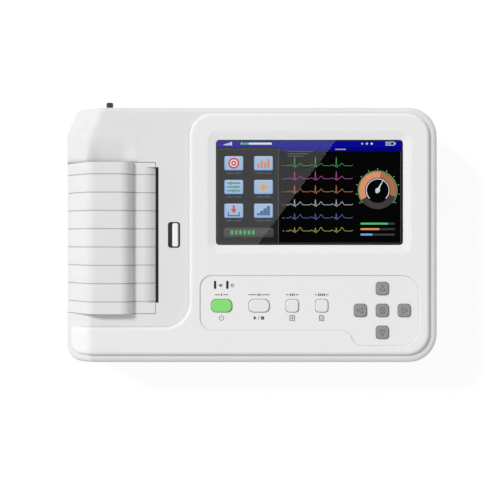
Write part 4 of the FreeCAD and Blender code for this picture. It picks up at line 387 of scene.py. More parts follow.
@dataclass(frozen=True)
class SiliconeRubber(Finish):
    """Matt silicone: soft skin, faint bloom and a touch of shine where fingers rub it."""

    colour: Colour = (0.3, 0.3, 0.3)
    roughness: float = 0.55
    bloom: float = 0.05
    pit: float = 0.35 * MM
    depth: float = 0.004 * MM
    mottle_size: float = 3 * MM
    edge_size: float = 0.5 * MM
    hollow_size: float = 2 * MM

    def shader(self, graph: Graph) -> Wire:
        """Builds the rubber's shader.

        Args:
            graph: The material's nodes.

        Returns:
            The shader.
        """
        place = graph.place()
        mottle = graph.noise(place, self.mottle_size, detail=3.0)
        worn = graph.edges(self.edge_size)
        colour = graph.mottled(mottle, self.colour, dark=0.97, light=1.03)
        colour = graph.blend(worn * 0.3, colour, shaded(self.colour, 1.15))
        # Painted shade: the colour darkens where nearby surfaces close in round the key.
        colour = graph.blend(graph.corners(self.hollow_size) * 0.4, colour, shaded(self.colour, 0.6))
        return graph.principled(
            {
                "Base Color": colour,
                "Roughness": self.roughness + (mottle - 0.5) * 0.2 - worn * 0.12,
                "Normal": graph.bump(graph.cells(place, self.pit), self.depth),
                "Sheen Weight": self.bloom,
            }
        )


@dataclass(frozen=True)
class PrintedFilm(Finish):
    """Polyester film with a fine hair grain, printed on its back."""

    colour: Colour = (0.8, 0.8, 0.8)
    roughness: float = 0.36
    depth: float = 0.003 * MM
    hair_size: float = 0.8 * MM
    hair_stretch: Point = (1.0, 6.0, 1.0)
    cloud_size: float = 25 * MM
    hollow_size: float = 1.6 * MM

    def shader(self, graph: Graph) -> Wire:
        """Builds the film's shader.

        Args:
            graph: The material's nodes.

        Returns:
            The shader.
        """
        place = graph.place()
        hair = graph.noise(graph.stretched(place, self.hair_stretch), self.hair_size)
        colour = graph.mottled(graph.noise(place, self.cloud_size), self.colour, dark=0.99, light=1.01)
        # Painted shade: the colour darkens in corners, where nearby surfaces close in.
        colour = graph.blend(graph.corners(self.hollow_size) * 0.25, colour, shaded(self.colour, 0.5))
        roughness = self.roughness + hair * 0.16
        normal = graph.bump(hair, self.depth)
        return graph.principled({"Base Color": colour, "Roughness": roughness, "Normal": normal})


@dataclass(frozen=True)
class CoverGlass(Finish):
    """Clear flat glass: it passes what lies under it and mirrors the room by its angle."""

    refraction: float = 1.5
    tint: Colour = (0.97, 0.98, 0.98)
    smudge_size: float = 22 * MM
    haze: float = 0.004

    def shader(self, graph: Graph) -> Wire:
        """Builds the glass's shader.

        Args:
            graph: The material's nodes.

        Returns:
            The shader.
        """
        smudge = graph.noise(graph.place(), self.smudge_size, detail=4.0, roughness=0.65)
        inside = graph.add("ShaderNodeNewGeometry", output="Backfacing")
        mirrored = graph.add("ShaderNodeFresnel", {}, {"IOR": self.refraction}) * (1 - inside)
        clear = graph.add("ShaderNodeBsdfTransparent", {}, {"Color": self.tint})
        roughness = smudge.eased(0.6, 0.95) * self.haze
        gloss = graph.principled({"Base Color": WHITE, "Metallic": 1.0, "Roughness": roughness})
        return graph.add("ShaderNodeMixShader", {}, {0: mirrored, 1: clear, 2: gloss})


@dataclass(frozen=True)
class LitPicture(Finish):
    """The glowing picture of a display, coloured by the mesh's own tint over a fine pixel grid."""

    pixel: float = 0.19 * MM
    gap_shade: float = 0.12

    def shader(self, graph: Graph) -> Wire:
        """Builds the picture's shader.

        Args:
            graph: The material's nodes.

        Returns:
            The shader.
        """
        tint = graph.add("ShaderNodeVertexColor", {"layer_name": "tint"})
        across, along, _ = graph.axes(graph.place())
        lines = (across / self.pixel).off_middle().at_least((along / self.pixel).off_middle())
        glow = graph.blend(lines.eased(0.42, 0.5) * self.gap_shade, tint, BLACK)
        return graph.principled(
            {
                "Base Color": BLACK,
                "Roughness": 0.4,
                "Specular IOR Level": 0.0,
                "Emission Color": glow,
                "Emission Strength": 1.0,
            }
        )


@dataclass(frozen=True)
class PrintInk(Finish):
    """Screen-printed ink, a little uneven in its cover."""

    colour: Colour = (0.08, 0.08, 0.085)
    cover_size: float = 0.4 * MM
    depth: float = 0.004 * MM

    def shader(self, graph: Graph) -> Wire:
        """Builds the ink's shader.

        Args:
            graph: The material's nodes.

        Returns:
            The shader.
        """
        cover = graph.noise(graph.place(), self.cover_size, detail=3.0)
        colour = graph.mottled(cover, self.colour, dark=0.85, light=1.2)
        normal = graph.bump(cover, self.depth)
        return graph.principled({"Base Color": colour, "Roughness": 0.45 + cover * 0.2, "Normal": normal})


class Lay(Enum):
    """The direction in which a metal's finishing marks run, as the scale of their pattern on each axis."""

    ACROSS = (1.0, 12.0, 12.0)
    ALONG = (12.0, 1.0, 12.0)
    UPRIGHT = (12.0, 12.0, 1.0)


@dataclass(frozen=True)
class WorkedMetal(Finish):
    """Metal with drawn or turned marks, stained a little by handling."""

    colour: Colour = (0.62, 0.62, 0.63)
    roughness: float = 0.28
    lay: Lay = Lay.ALONG
    mark: float = 1.2 * MM
    depth: float = 0.006 * MM
    stain_size: float = 8 * MM
    edge_size: float = 0.4 * MM

    def shader(self, graph: Graph) -> Wire:
        """Builds the metal's shader.

        Args:
            graph: The material's nodes.

        Returns:
            The shader.
        """
        place = graph.place()
        marks = graph.noise(graph.stretched(place, self.lay.value), self.mark, detail=3.0, roughness=0.6)
        stain = graph.noise(place, self.stain_size, detail=4.0, roughness=0.6)
        colour = graph.blend(stain.eased(0.35, 0.75), self.colour, shaded(self.colour, 0.82))
        colour = graph.blend(graph.edges(self.edge_size) * 0.5, colour, shaded(self.colour, 1.2))
        roughness = self.roughness + (marks - 0.5) * 0.2 + (stain - 0.5) * 0.1
        normal = graph.bump(marks, self.depth)
        inputs = {"Base Color": colour, "Metallic": 1.0, "Roughness": roughness, "Normal": normal}
        return graph.principled(inputs)


@dataclass(frozen=True)
class SolderMask(Finish):
    """A circuit board: green mask over copper tracks, with tinned pads between them."""

    colour: Colour = (0.03, 0.2, 0.09)
    tin: Colour = (0.7, 0.69, 0.66)
    depth: float = 0.03 * MM
    bend_size: float = 14 * MM
    bend_tracks: float = 6.0
    track_pitch: tuple[float, float] = (1.9 * MM, 2.6 * MM)
    track_half: tuple[float, float] = (0.16, 0.1)
    pad_pitch: float = 4.2 * MM
    pad_reach: float = 0.14

    def shader(self, graph: Graph) -> Wire:
        """Builds the board's shader.

        Args:
            graph: The material's nodes.

        Returns:
            The shader.
        """
        place = graph.place()
        across, along, _ = graph.axes(place)
        bend = graph.cells(place, self.bend_size, "SMOOTH_F1") * self.bend_tracks
        first = (across / self.track_pitch[0] + bend).off_middle() < self.track_half[0]
        second = (along / self.track_pitch[1] - bend).off_middle() < self.track_half[1]
        tracks = first.at_least(second)
        pads = graph.cells(place, self.pad_pitch) < self.pad_reach
        colour = graph.blend(tracks, self.colour, shaded(self.colour, 1.7))
        return graph.principled(
            {
                "Base Color": graph.blend(pads, colour, self.tin),
                "Roughness": 0.38 - pads * 0.1,
                "Metallic": pads * 0.9,
                "Normal": graph.bump(tracks.at_least(pads), self.depth),
            }
        )


@dataclass(frozen=True)
class ChartPaper(Finish):
    """Thermal chart paper on its roll: a pale grid round the outside and wound layers at the ends."""

    axis: tuple[float, float] = (0.0, 0.0)
    radius: float = 22 * MM
    half_width: float = 55 * MM
    paper: Colour = (0.9, 0.89, 0.87)
    line: Colour = (0.85, 0.42, 0.38)
    depth: float = 0.03 * MM
    end_skin: float = 0.05 * MM
    fine_pitch: float = 1 * MM
    bold_pitch: float = 5 * MM
    fibre_size: float = 0.6 * MM
    layer_pitch: float = 0.32 * MM
    layer_waver: float = 9 * MM

    def shader(self, graph: Graph) -> Wire:
        """Builds the paper's shader.

        Args:
            graph: The material's nodes.

        Returns:
            The shader.
        """
        place = graph.place()
        across, along, upward = graph.axes(place)
        across, upward = across - self.axis[0], upward - self.axis[1]
        turn = upward.angle(across) * self.radius
        reach = (across * across + upward * upward) ** 0.5
        end = abs(along) > self.half_width - self.end_skin
        fine = self.grid(turn, along, self.fine_pitch, 0.44) * 0.35
        bold = self.grid(turn, along, self.bold_pitch, 0.475) * 0.6
        fibre = graph.noise(place, self.fibre_size, detail=3.0)
        layers = (reach / self.layer_pitch + graph.noise(place, self.layer_waver) * 2).off_middle() * 2
        colour = graph.blend(fine.at_least(bold) * (1 - end), self.paper, self.line)
        colour = graph.blend(end * layers * 0.3, colour, shaded(self.paper, 0.6))
        colour = graph.blend(fibre * 0.1, colour, shaded(self.paper, 0.85))
        normal = graph.bump(fibre * 0.3 + end * layers, self.depth)
        return graph.principled({"Base Color": colour, "Roughness": 0.5 + fibre * 0.2, "Normal": normal})

    @staticmethod
    def grid(first: Wire, second: Wire, pitch: float, edge: float) -> Wire:
        """Returns 1 on the lines of a square grid."""
        return (first / pitch).off_middle().at_least((second / pitch).off_middle()) > edge


@dataclass(frozen=True)
class WoundCard(Finish):
    """Spiral-wound brown card."""

    colour: Colour = (0.45, 0.35, 0.24)
    depth: float = 0.05 * MM
    seam_pitch: float = 24 * MM
    seam_half: float = 0.015
    fibre_size: float = 0.7 * MM
    fibre_stretch: Point = (4.0, 1.0, 1.0)

    def shader(self, graph: Graph) -> Wire:
        """Builds the card's shader.

        Args:
            graph: The material's nodes.

        Returns:
            The shader.
        """
        place = graph.place()
        across, along, upward = graph.axes(place)
        seam = ((along + across * 0.8 + upward * 0.5) / self.seam_pitch).off_middle() < self.seam_half
        stretched = graph.stretched(place, self.fibre_stretch)
        fibre = graph.noise(stretched, self.fibre_size, detail=4.0, roughness=0.7)
        colour = graph.mottled(fibre, self.colour, dark=0.8, light=1.15)
        colour = graph.blend(seam, colour, shaded(self.colour, 0.5))
        normal = graph.bump(fibre * 0.6 - seam, self.depth)
        return graph.principled({"Base Color": colour, "Roughness": 0.75 + fibre * 0.15, "Normal": normal})


@dataclass(frozen=True)
class FoamRubber(Finish):
    """Dark rubber or foam with open pores and grey scuffs on its edges."""

    colour: Colour = (0.02, 0.02, 0.02)
    pore: float = 0.5 * MM
    depth: float = 0.05 * MM
    scuffed: Colour = (0.14, 0.14, 0.14)
    scuff_size: float = 2 * MM
    edge_size: float = 0.8 * MM

    def shader(self, graph: Graph) -> Wire:
        """Builds the rubber's shader.

        Args:
            graph: The material's nodes.

        Returns:
            The shader.
        """
        place = graph.place()
        pores = graph.cells(place, self.pore)
        rubbed = graph.noise(place, self.scuff_size, detail=4.0, roughness=0.7).eased(0.55, 0.75)
        colour = graph.mottled(pores, self.colour, dark=0.6, light=1.4)
        colour = graph.blend(rubbed * graph.edges(self.edge_size) * 0.5, colour, self.scuffed)
        normal = graph.bump(pores, self.depth)
        return graph.principled({"Base Color": colour, "Roughness": 0.72 + pores * 0.12, "Normal": normal})


def grid_faces(rows: int, columns: int, closed: bool) -> Array:
    """Numbers the corners of the quads of a grid of points.

    Args:
        rows: How many rows of points there are.
        columns: How many points are in a row.
        closed: Whether the last row joins the first.

    Returns:
        Four point numbers for each quad.
    """
    row = np.arange(rows if closed else rows - 1)[:, None]
    column = np.arange(columns - 1)[None, :]
    here, after = row * columns + column, (row + 1) % rows * columns + column
    return np.stack([here, here + 1, after + 1, after], axis=-1).reshape(-1, 4)


def mesh_object(name: str, points: Array, faces: Array, material: bpy.types.Material) -> bpy.types.Object:
    """Makes an object from arrays of points and faces.

    Args:
        name: The object's name.
        points: Its points, one row for each.
        faces: The numbers of the corners of its faces.
        material: What it is made of.

    Returns:
        The object, in the scene.
    """
    mesh = bpy.data.meshes.new(name)
    mesh.from_pydata(points.tolist(), [], faces.tolist())
    mesh.materials.append(material)
    made = bpy.data.objects.new(name, mesh)
    bpy.context.scene.collection.objects.link(made)
    return made


def new_piece(
    name: str, points: Array, faces: Array, finish: Finish, body: str
) -> bpy.types.Object:
    """Makes a piece of the machine.

    Args:
        name: The piece's name.
        points: Its points, one row for each.
        faces: The numbers of the corners of its faces.
        finish: Its finish.
        body: The body that it moves with.

    Returns:
        The piece.
    """
    piece = mesh_object(name, points, faces, finish.material())
    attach(piece, body)
    LOG.info("%s: %d faces on %s", name, len(faces), body)
    return piece


def close_poles(piece: bpy.types.Object, reach: float = 0.0005 * MM) -> None:
    """Joins the points that meet at the ends of a turned shape.

    Args:
        piece: The turned piece.
        reach: How near two points are when they count as one.
    """
    shape = bmesh.new()
    shape.from_mesh(piece.data)
    bmesh.ops.remove_doubles(shape, verts=shape.verts, dist=reach)
    shape.to_mesh(piece.data)
    shape.free()


@dataclass
class Canvas:
    """Flat tinted shapes stacked in thin layers on a level face, which become one mesh.

    Every shape is a ruled surface: point (u, v) lies a share u of the way from a first curve's point v
    to a second curve's. The shapes are given in millimetres from the canvas's origin.
    """

    origin: Vector
    step: float = 0.004 * MM
    side_points: int = 14
    side_end: float = 0.995
    arc_points: int = 6
    arc_step: float = 7.0
    points: list[Array] = field(default_factory=list)
    tints: list[Array] = field(default_factory=list)
    faces: list[Array] = field(default_factory=list)
    count: int = 0

    def ruled(self, first: Array, second: Array, low: Colour, high: Colour) -> None:
        """Lays the surface between two curves.

        Args:
            first: Points of the first curve.
            second: As many points of the second curve.
            low: The tint at the first point of the curves.
            high: The tint at their last point.
        """
        grid = np.stack([first, second], axis=1)
        faces = grid_faces(*grid.shape[:2], False)
        flat = grid.reshape(-1, 2)
        diagonals = flat[faces[:, 2:]] - flat[faces[:, :2]]
        turning = diagonals[:, 0, 0] * diagonals[:, 1, 1] - diagonals[:, 0, 1] * diagonals[:, 1, 0]
        faces = np.where((turning < 0)[:, None], faces[:, ::-1], faces)
        height = np.full((len(flat), 1), (len(self.points) + 1) * self.step)
        self.points.append(np.hstack([flat * MM, height]) + np.array(self.origin))
        share = np.repeat(np.linspace(0, 1, len(first)), 2)[:, None]
        self.tints.append(np.array(low) * (1 - share) + np.array(high) * share)
        self.faces.append(faces + self.count)
        self.count += len(flat)

    def tile(
        self,
        centre: Point,
        width: float,
        height: float,
        radius: float,
        low: Colour,
        high: Colour | None = None,
    ) -> None:
        """Lays a rounded rectangle, as the surface between its left and right sides from bottom to top.

        Args:
            centre: The middle of the rectangle.
            width: Its size across.
            height: Its size upwards.
            radius: The radius of its corners.
            low: The tint at the bottom.
            high: The tint at the top, where it is another.
        """
        turn = np.linspace(-math.pi / 2, math.pi / 2, self.side_points)
        # The sides of a disc would meet at its poles, so they stop a little short of them.
        turn[[0, -1]] *= self.side_end
        side = np.where(turn > 0, 1, -1) * (height / 2 - radius) + radius * np.sin(turn)
        reach = width / 2 - radius + radius * np.cos(turn)
        left = np.stack([centre[0] - reach, centre[1] + side], axis=1)
        right = np.stack([centre[0] + reach, centre[1] + side], axis=1)
        self.ruled(left, right, low, low if high is None else high)

    def disc(self, centre: Point, radius: float, low: Colour, high: Colour | None = None) -> None:
        """Lays a disc, as a rounded rectangle that is all corner."""
        self.tile(centre, 2 * radius, 2 * radius, radius, low, high)

    def ring(
        self,
        centre: Point,
        radius: float,
        width: float,
        colour: Colour,
        start: float = 0.0,
        end: float = 360.0,
    ) -> None:
        """Lays a band between two circles, or a part of one.

        Args:
            centre: The middle of the circles.
            radius: The radius of the band's middle line.
            width: The width of the band.
            colour: Its tint.
            start: The angle in degrees at which it starts.
            end: The angle at which it ends.
        """
        count = max(self.arc_points, int(abs(end - start) / self.arc_step))
        direction = toward(np.linspace(start, end, count))
        inner = np.array(centre) + direction * (radius - width / 2)
        outer = np.array(centre) + direction * (radius + width / 2)
        self.ruled(inner, outer, colour, colour)

    def stroke(self, path: Array | Sequence[Point], widths: float | Array, colour: Colour) -> None:
        """Lays a line along a path, as the surface between the path moved to its left and to its right.

        Args:
            path: The points of the path.
            widths: The line's width, or its width at each point.
            colour: Its tint.
        """
        path = np.asarray(path, float)
        run = np.gradient(path, axis=0)
        run /= np.linalg.norm(run, axis=1, keepdims=True)
        beside = np.stack([-run[:, 1], run[:, 0]], axis=1) * np.reshape(widths, (-1, 1)) / 2
        self.ruled(path - beside, path + beside, colour, colour)

    def lines(self, corners: Sequence[Point], width: float, colour: Colour, closed: bool = False) -> None:
        """Lays straight strokes from corner to corner, each run half a width past its ends.

        Args:
            corners: The points that the strokes join.
            width: The strokes' width.
            colour: Their tint.
            closed: Whether a last stroke goes back to the first corner.
        """
        ends = [*corners[1:], corners[0]] if closed else corners[1:]
        for start, end in zip(np.asarray(corners, float), np.asarray(ends, float)):
            reach = (end - start) / np.linalg.norm(end - start) * width / 2
            self.stroke([start - reach, end + reach], width, colour)

    def outline(self, low: Point, high: Point, width: float, colour: Colour) -> None:
        """Lays the outline of a rectangle between two corners."""
        corners = [(low[0], low[1]), (high[0], low[1]), (high[0], high[1]), (low[0], high[1])]
        self.lines(corners, width, colour, closed=True)

    def piece(self, name: str, finish: Finish, body: str, slot: str) -> None:
        """Makes the canvas's mesh, with its tints as a colour attribute.

        Args:
            name: The piece's name.
            finish: Its finish.
            body: The body that it moves with.
            slot: The name of a material slot of the part, which is not used.
        """
        piece = new_piece(name, np.vstack(self.points), np.vstack(self.faces), finish, body)
        layer = piece.data.color_attributes.new("tint", "FLOAT_COLOR", "POINT")
        tints = np.hstack([np.vstack(self.tints), np.ones((self.count, 1))])
        layer.data.foreach_set("color", tints.astype(np.float32).ravel())


CASE_GREY = grey(0.72)
PANEL_GREY = grey(0.79)

CASE = MouldedPlastic("case_plastic", CASE_GREY, 0.6)
DECK = BlendedPlastic(
    "deck_plastic", CASE_GREY, 0.6, across=(-175 * MM, -92 * MM), along=(50 * MM, 120 * MM)
)
HUMP = BlendedPlastic(
    "hump_plastic", CASE_GREY, 0.6, across=(-175 * MM, -118 * MM), along=(-58 * MM, 58 * MM)
)
PANEL = BlendedPlastic(
    "panel_plastic", PANEL_GREY, 0.45, across=(-148 * MM, -105 * MM), along=(-98 * MM, -80 * MM)
)
LATCH = MouldedPlastic("latch_plastic", grey(0.86), roughness=0.3)
BLACK_PLASTIC = MouldedPlastic("black_plastic", (0.022, 0.022, 0.024), roughness=0.45, corner_shade=0.1)
SOCKET_BLUE = MouldedPlastic("socket_plastic", (0.03, 0.11, 0.34), roughness=0.4, corner_shade=0.3)
GEAR_PLASTIC = MouldedPlastic("gear_plastic", (0.74, 0.71, 0.62), roughness=0.35)
SMOKED = MouldedPlastic("smoked_acrylic", (0.006, 0.006, 0.007), roughness=0.12, depth=0.001 * MM, corner_shade=0.0)
SLEEVE = MouldedPlastic("battery_sleeve", (0.03, 0.09, 0.3), roughness=0.28, grain=6 * MM, depth=0.06 * MM)
CERAMIC = MouldedPlastic("glazed_ceramic", (0.012, 0.013, 0.014), roughness=0.3, depth=0.002 * MM)
FILM = PrintedFilm("overlay_film", PANEL_GREY)
GLASS = CoverGlass("cover_glass")
PICTURE = LitPicture("lit_picture")
LEGEND_INK = PrintInk("legend_ink")
KEY_INK = PrintInk("key_ink", (0.075, 0.075, 0.08))
GREEN_KEY = SiliconeRubber("green_silicone", (0.235, 0.69, 0.165))
GREY_KEY = SiliconeRubber("grey_silicone", (0.265, 0.265, 0.27))
WHITE_KEY = SiliconeRubber("white_silicone", grey(0.76))
PLATEN_SKIN = SiliconeRubber("platen_rubber", (0.02, 0.02, 0.021), roughness=0.65)
FOAM = FoamRubber("gasket_foam")
FOOT_RUBBER = FoamRubber("foot_rubber", (0.025, 0.025, 0.026), pore=0.8 * MM, depth=0.02 * MM)
STEEL = WorkedMetal("drawn_steel")
SHEET_STEEL = WorkedMetal("sheet_steel", (0.58, 0.59, 0.6), 0.34, Lay.ACROSS, 2 * MM)
SCREW_STEEL = WorkedMetal("screw_steel", (0.4, 0.4, 0.41), 0.32, Lay.UPRIGHT)
NICKEL = WorkedMetal("nickel_plate", (0.72, 0.70, 0.66), 0.16, Lay.UPRIGHT)
DARK_NICKEL = WorkedMetal("dark_nickel", (0.07, 0.07, 0.075), 0.3, Lay.ALONG)
BLUED_STEEL = WorkedMetal("blued_steel", (0.03, 0.03, 0.034), 0.35, Lay.ALONG)
BRASS = WorkedMetal("turned_brass", (0.72, 0.53, 0.22), 0.25, Lay.ACROSS)
ANODISED = WorkedMetal("black_anodised", (0.02, 0.02, 0.022), 0.4, Lay.ALONG)
BOARD = SolderMask("solder_mask")
CARD = WoundCard("wound_card")


@dataclass
class Studio:
    """The pale floor, the light and the camera.

    The field share is half the width of the view over its distance, and pixels are the photograph's. The
    veil is the room's pale mirror image on the display glass, given by two points of its slanted edge.
    """

    camera_height: float = 927 * MM
    camera_offset: float = -2.6 * MM
    sensor_width: float = 36.0
    clip_start: float = 0.01
    field_share: float = 0.24504
    frame_width: float = 500.0
    axis_pixel: tuple[float, float] = (250.5, 238.0)
    frame_centre: tuple[float, float] = (250.0, 248.0)
    ambient: float = 0.54
    key_strength: float = 2.18
    key_spread: float = 12.0
    key_side: Point = (-0.55, 0.36, 0.63)
    under_strength: float = 1.9
    under_spread: float = 50.0
    under_side: Point = (0.2, -0.3, -1.0)
    floor_reach: float = 3.0
    floor_drop: float = 0.1 * MM
    floor_tone: float = 0.85
    floor_shown: float = 0.16
    floor_glow: float = 0.87
    card_rise: float = 1.1
    card_width: float = 0.5
    veil_low: Point = (5.7 * MM, -8.5 * MM, 0.0)
    veil_high: Point = (72.1 * MM, 79.8 * MM, 0.0)

    def build(self) -> None:
        """Sets up the view, the camera, the lamps, the world, the floor and the black card."""
        bpy.context.scene.view_settings.view_transform = "Standard"
        self.make_camera()
        self.make_lamp("key_lamp", self.key_strength, self.key_spread, self.key_side)
        self.make_lamp("under_lamp", self.under_strength, self.under_spread, self.under_side)
        self.make_world()
        self.make_floor()
        self.make_card()

    def make_camera(self) -> None:
        """Hangs the camera over the machine, with its axis at the pixel where the photograph has it."""
        data = bpy.data.cameras.new("camera")
        data.sensor_width = self.sensor_width
        data.lens = self.sensor_width / (2 * self.field_share)
        data.shift_x = (self.frame_centre[0] - self.axis_pixel[0]) / self.frame_width
        data.shift_y = (self.axis_pixel[1] - self.frame_centre[1]) / self.frame_width
        data.clip_start = self.clip_start
        camera = bpy.data.objects.new("camera", data)
        camera.location = (0.0, self.camera_offset, self.camera_height)
        bpy.context.scene.collection.objects.link(camera)
        bpy.context.scene.camera = camera

    @staticmethod
    def make_lamp(name: str, strength: float, spread: float, side: Point) -> None:
        """Sets an even lamp far off, which mirrors don't show.

        Args:
            name: The lamp's name.
            strength: The light that it throws on a face turned towards it.
            spread: The angle that it fills, in degrees.
            side: The direction in which it stands.
        """
        data = bpy.data.lights.new(name, "SUN")
        data.energy = strength
        data.angle = math.radians(spread)
        lamp = bpy.data.objects.new(name, data)
        lamp.rotation_euler = (-Vector(side)).to_track_quat("-Z", "Y").to_euler()
        lamp.visible_glossy = False
        bpy.context.scene.collection.objects.link(lamp)

    def make_world(self) -> None:
        """Fills the room with even light; the camera, mirrors and glass see it white."""
        world = bpy.data.worlds.new("studio")
        bpy.context.scene.world = world
        graph = Graph(world)
        strength = self.ambient + self.seen(graph) * (1.0 - self.ambient)
        light = graph.add("ShaderNodeBackground", {}, {"Color": WHITE, "Strength": strength})
        graph.finish(light, "ShaderNodeOutputWorld")

    @staticmethod
    def seen(graph: Graph) -> Wire:
        """Tells apart the rays that look from those that carry light.

        Args:
            graph: The nodes of the world or of a material.

        Returns:
            A value that is 1 for rays from the camera, from mirrors and through glass, and 0 for others.
        """
        names = ("Is Camera Ray", "Is Glossy Ray", "Is Transmission Ray")
        rays = [graph.add("ShaderNodeLightPath", output=name) for name in names]
        return rays[0].at_least(rays[1]).at_least(rays[2])

    def make_floor(self) -> None:
        """Lays a white floor that keeps a soft shadow and is clear to what looks or shines from below."""
        material = bpy.data.materials.new("studio_floor")
        graph = Graph(material)
        plain = graph.add("ShaderNodeBsdfDiffuse", {}, {"Color": grey(self.floor_tone)})
        shadow = graph.add("ShaderNodeBsdfDiffuse", {}, {"Color": grey(self.floor_shown)})
        white = graph.add("ShaderNodeEmission", {}, {"Color": WHITE, "Strength": self.floor_glow})
        shown = graph.add("ShaderNodeAddShader", {}, {0: shadow, 1: white})
        surface = graph.add("ShaderNodeMixShader", {}, {0: self.seen(graph), 1: plain, 2: shown})
        below = graph.add("ShaderNodeNewGeometry", output="Backfacing")
        clear = graph.add("ShaderNodeBsdfTransparent")
        graph.finish(graph.add("ShaderNodeMixShader", {}, {0: below, 1: surface, 2: clear}))
        reach = self.floor_reach
        corners = [(-reach, -reach), (reach, -reach), (-reach, reach), (reach, reach)]
        floor = self.stage_piece("floor", corners, -self.floor_drop, material)
        floor.visible_shadow = False

    def make_card(self) -> None:
        """Hangs a black card over the machine, whose slanted edge is mirrored in the display glass."""
        material = bpy.data.materials.new("black_card")
        graph = Graph(material)
        graph.finish(graph.add("ShaderNodeEmission", {}, {"Color": BLACK, "Strength": 1.0}))
        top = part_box("display_glass")[1].z
        spread = 1 + self.card_rise / (self.camera_height - top)
        eye, veil = Vector((0.0, self.camera_offset, 0.0)), Vector(self.veil_low)
        start = eye + (veil - eye) * spread
        run = (Vector(self.veil_high) - veil) * spread
        width = Vector((self.card_width, 0.0, 0.0))
        first, last = start - run * 0.5, start + run * 1.5
        corners = [corner.xy for corner in (first, first + width, last, last + width)]
        card = self.stage_piece("black_card", corners, top + self.card_rise, material)
        for ray in ("camera", "diffuse", "shadow", "transmission"):
            setattr(card, f"visible_{ray}", False)

    @staticmethod
    def stage_piece(
        name: str, corners: Sequence[Point], height: float, material: bpy.types.Material
    ) -> bpy.types.Object:
        """Makes a level piece of the studio, which isn't part of the machine.

        Args:
            name: The piece's name.
            corners: Its four corners, as two rows of two.
            height: The height at which it lies.
            material: What it is made of.

        Returns:
            The piece.
        """
        points = np.array([[*corner, height] for corner in corners])
        piece = mesh_object(name, points, grid_faces(2, 2, False), material)
        return piece


def middle(name: str) -> Vector:
    """Returns the centre of the top of a solid."""
    low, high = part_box(name)
    return Vector(((low.x + high.x) / 2, (low.y + high.y) / 2, high.z))


def islands(name: str, gap: float = 5 * MM) -> list[Array]:
    """Returns the points of each separate body in a solid, split where a gap runs across it.

    Args:
        name: The solid's name.
        gap: The least distance between two bodies along an axis.

    Returns:
        One array of points for each body.
    """
    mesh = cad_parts[name].data
    points = np.empty(len(mesh.vertices) * 3)
    mesh.vertices.foreach_get("co", points)
    groups = [points.reshape(-1, 3)]
    for axis in (0, 1):
        parted = []
        for group in groups:
            ordered = group[np.argsort(group[:, axis])]
            parted += np.split(ordered, np.flatnonzero(np.diff(ordered[:, axis]) > gap) + 1)
        groups = parted
    return groups


@dataclass
class TurnedScrews:
    """Round-headed screws that look down, with cross recesses and rolled threads.

    Each is a profile turned about an upright axis: point (u, v) is the profile's point v turned by the
    angle u. The thread draws the shank in by a saw wave that climbs one pitch a turn. The recess lifts
    the face of the head where a point lies in one of two crossed bars.
    """

    node: str
    head_height: float
    shank_radius: float = 1.5 * MM
    pitch: float = 1.1 * MM
    thread: float = 0.25 * MM
    rim_share: float = 0.45
    arm_reach: float = 1.75 * MM
    arm_half: float = 0.42 * MM
    arm_wall: float = 0.15 * MM
    arm_end: float = 0.2 * MM
    recess: float = 1.2 * MM
    turns: int = 48
    pitch_points: int = 4
    face_points: int = 26

    def build(self) -> None:
        """Turns a screw wherever the solid has one and joins them in one piece."""
        screws = [self.screw(body.min(axis=0), body.max(axis=0)) for body in islands(self.node)]
        rows, columns = screws[0].shape[:2]
        points = np.vstack([screw.reshape(-1, 3) for screw in screws])
        starts = np.arange(len(screws))[:, None, None] * rows * columns
        faces = (grid_faces(rows, columns, True) + starts).reshape(-1, 4)
        piece = new_piece(f"{self.node}_turned", points, faces, SCREW_STEEL, "case")
        close_poles(piece)
        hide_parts(self.node)

    def screw(self, low: Array, high: Array) -> Array:
        """Returns the points of one screw.

        Args:
            low: The lowest corner of the screw's box.
            high: Its highest corner.

        Returns:
            The points as a grid of turns by profile points, from the tip to the middle of the head.
        """
        centre, head = (low + high) / 2, (high[0] - low[0]) / 2
        turn = np.linspace(0, 2 * math.pi, self.turns, endpoint=False)[:, None]
        around = np.ones_like(turn)
        seat = low[2] + self.head_height
        shank = np.linspace(high[2], seat, int((high[2] - seat) / self.pitch * self.pitch_points))
        climb = (shank / self.pitch + turn / (2 * math.pi)) % 1.0
        tip = np.clip((high[2] - shank) / self.pitch, 0.0, 1.0)
        threaded = (self.shank_radius - self.thread * abs(2 * climb - 1)) * tip
        face = np.linspace(math.pi / 2, 0.0, self.face_points)
        domed = head * np.sin(face) * around
        dome = seat - self.head_height * (self.rim_share + (1 - self.rim_share) * np.cos(face))
        across, along = abs(domed * np.cos(turn)), abs(domed * np.sin(turn))
        arms = np.clip((self.arm_half - np.minimum(across, along)) / self.arm_wall, 0, 1)
        arms = arms * np.clip((self.arm_reach - domed) / self.arm_end, 0, 1)
        radii = np.hstack([threaded, head * around, domed])
        heights = np.hstack([shank * around, seat * around, dome + self.recess * arms])
        sides = [centre[0] + radii * np.cos(turn), centre[1] + radii * np.sin(turn)]
        return np.stack([*sides, heights], axis=-1)


@dataclass
class CaseShells:
    """The two shells of the case with the panel, feet, door and screws."""

    case_screw_head: float = 2.2 * MM
    door_screw_head: float = 1.6 * MM

    def dress(self) -> None:
        """Gives the shells their finishes."""
        CASE.dress("base_case", "battery_door")
        DECK.dress("top_case")
        PANEL.dress("front_panel")
        FOOT_RUBBER.dress("feet")
        SCREW_STEEL.dress("board_screws")
        STEEL.dress("cover_hinge_pin")

    def build(self) -> None:
        """Turns the screws that show from below."""
        TurnedScrews("case_screws", self.case_screw_head).build()
        TurnedScrews("door_screws", self.door_screw_head).build()


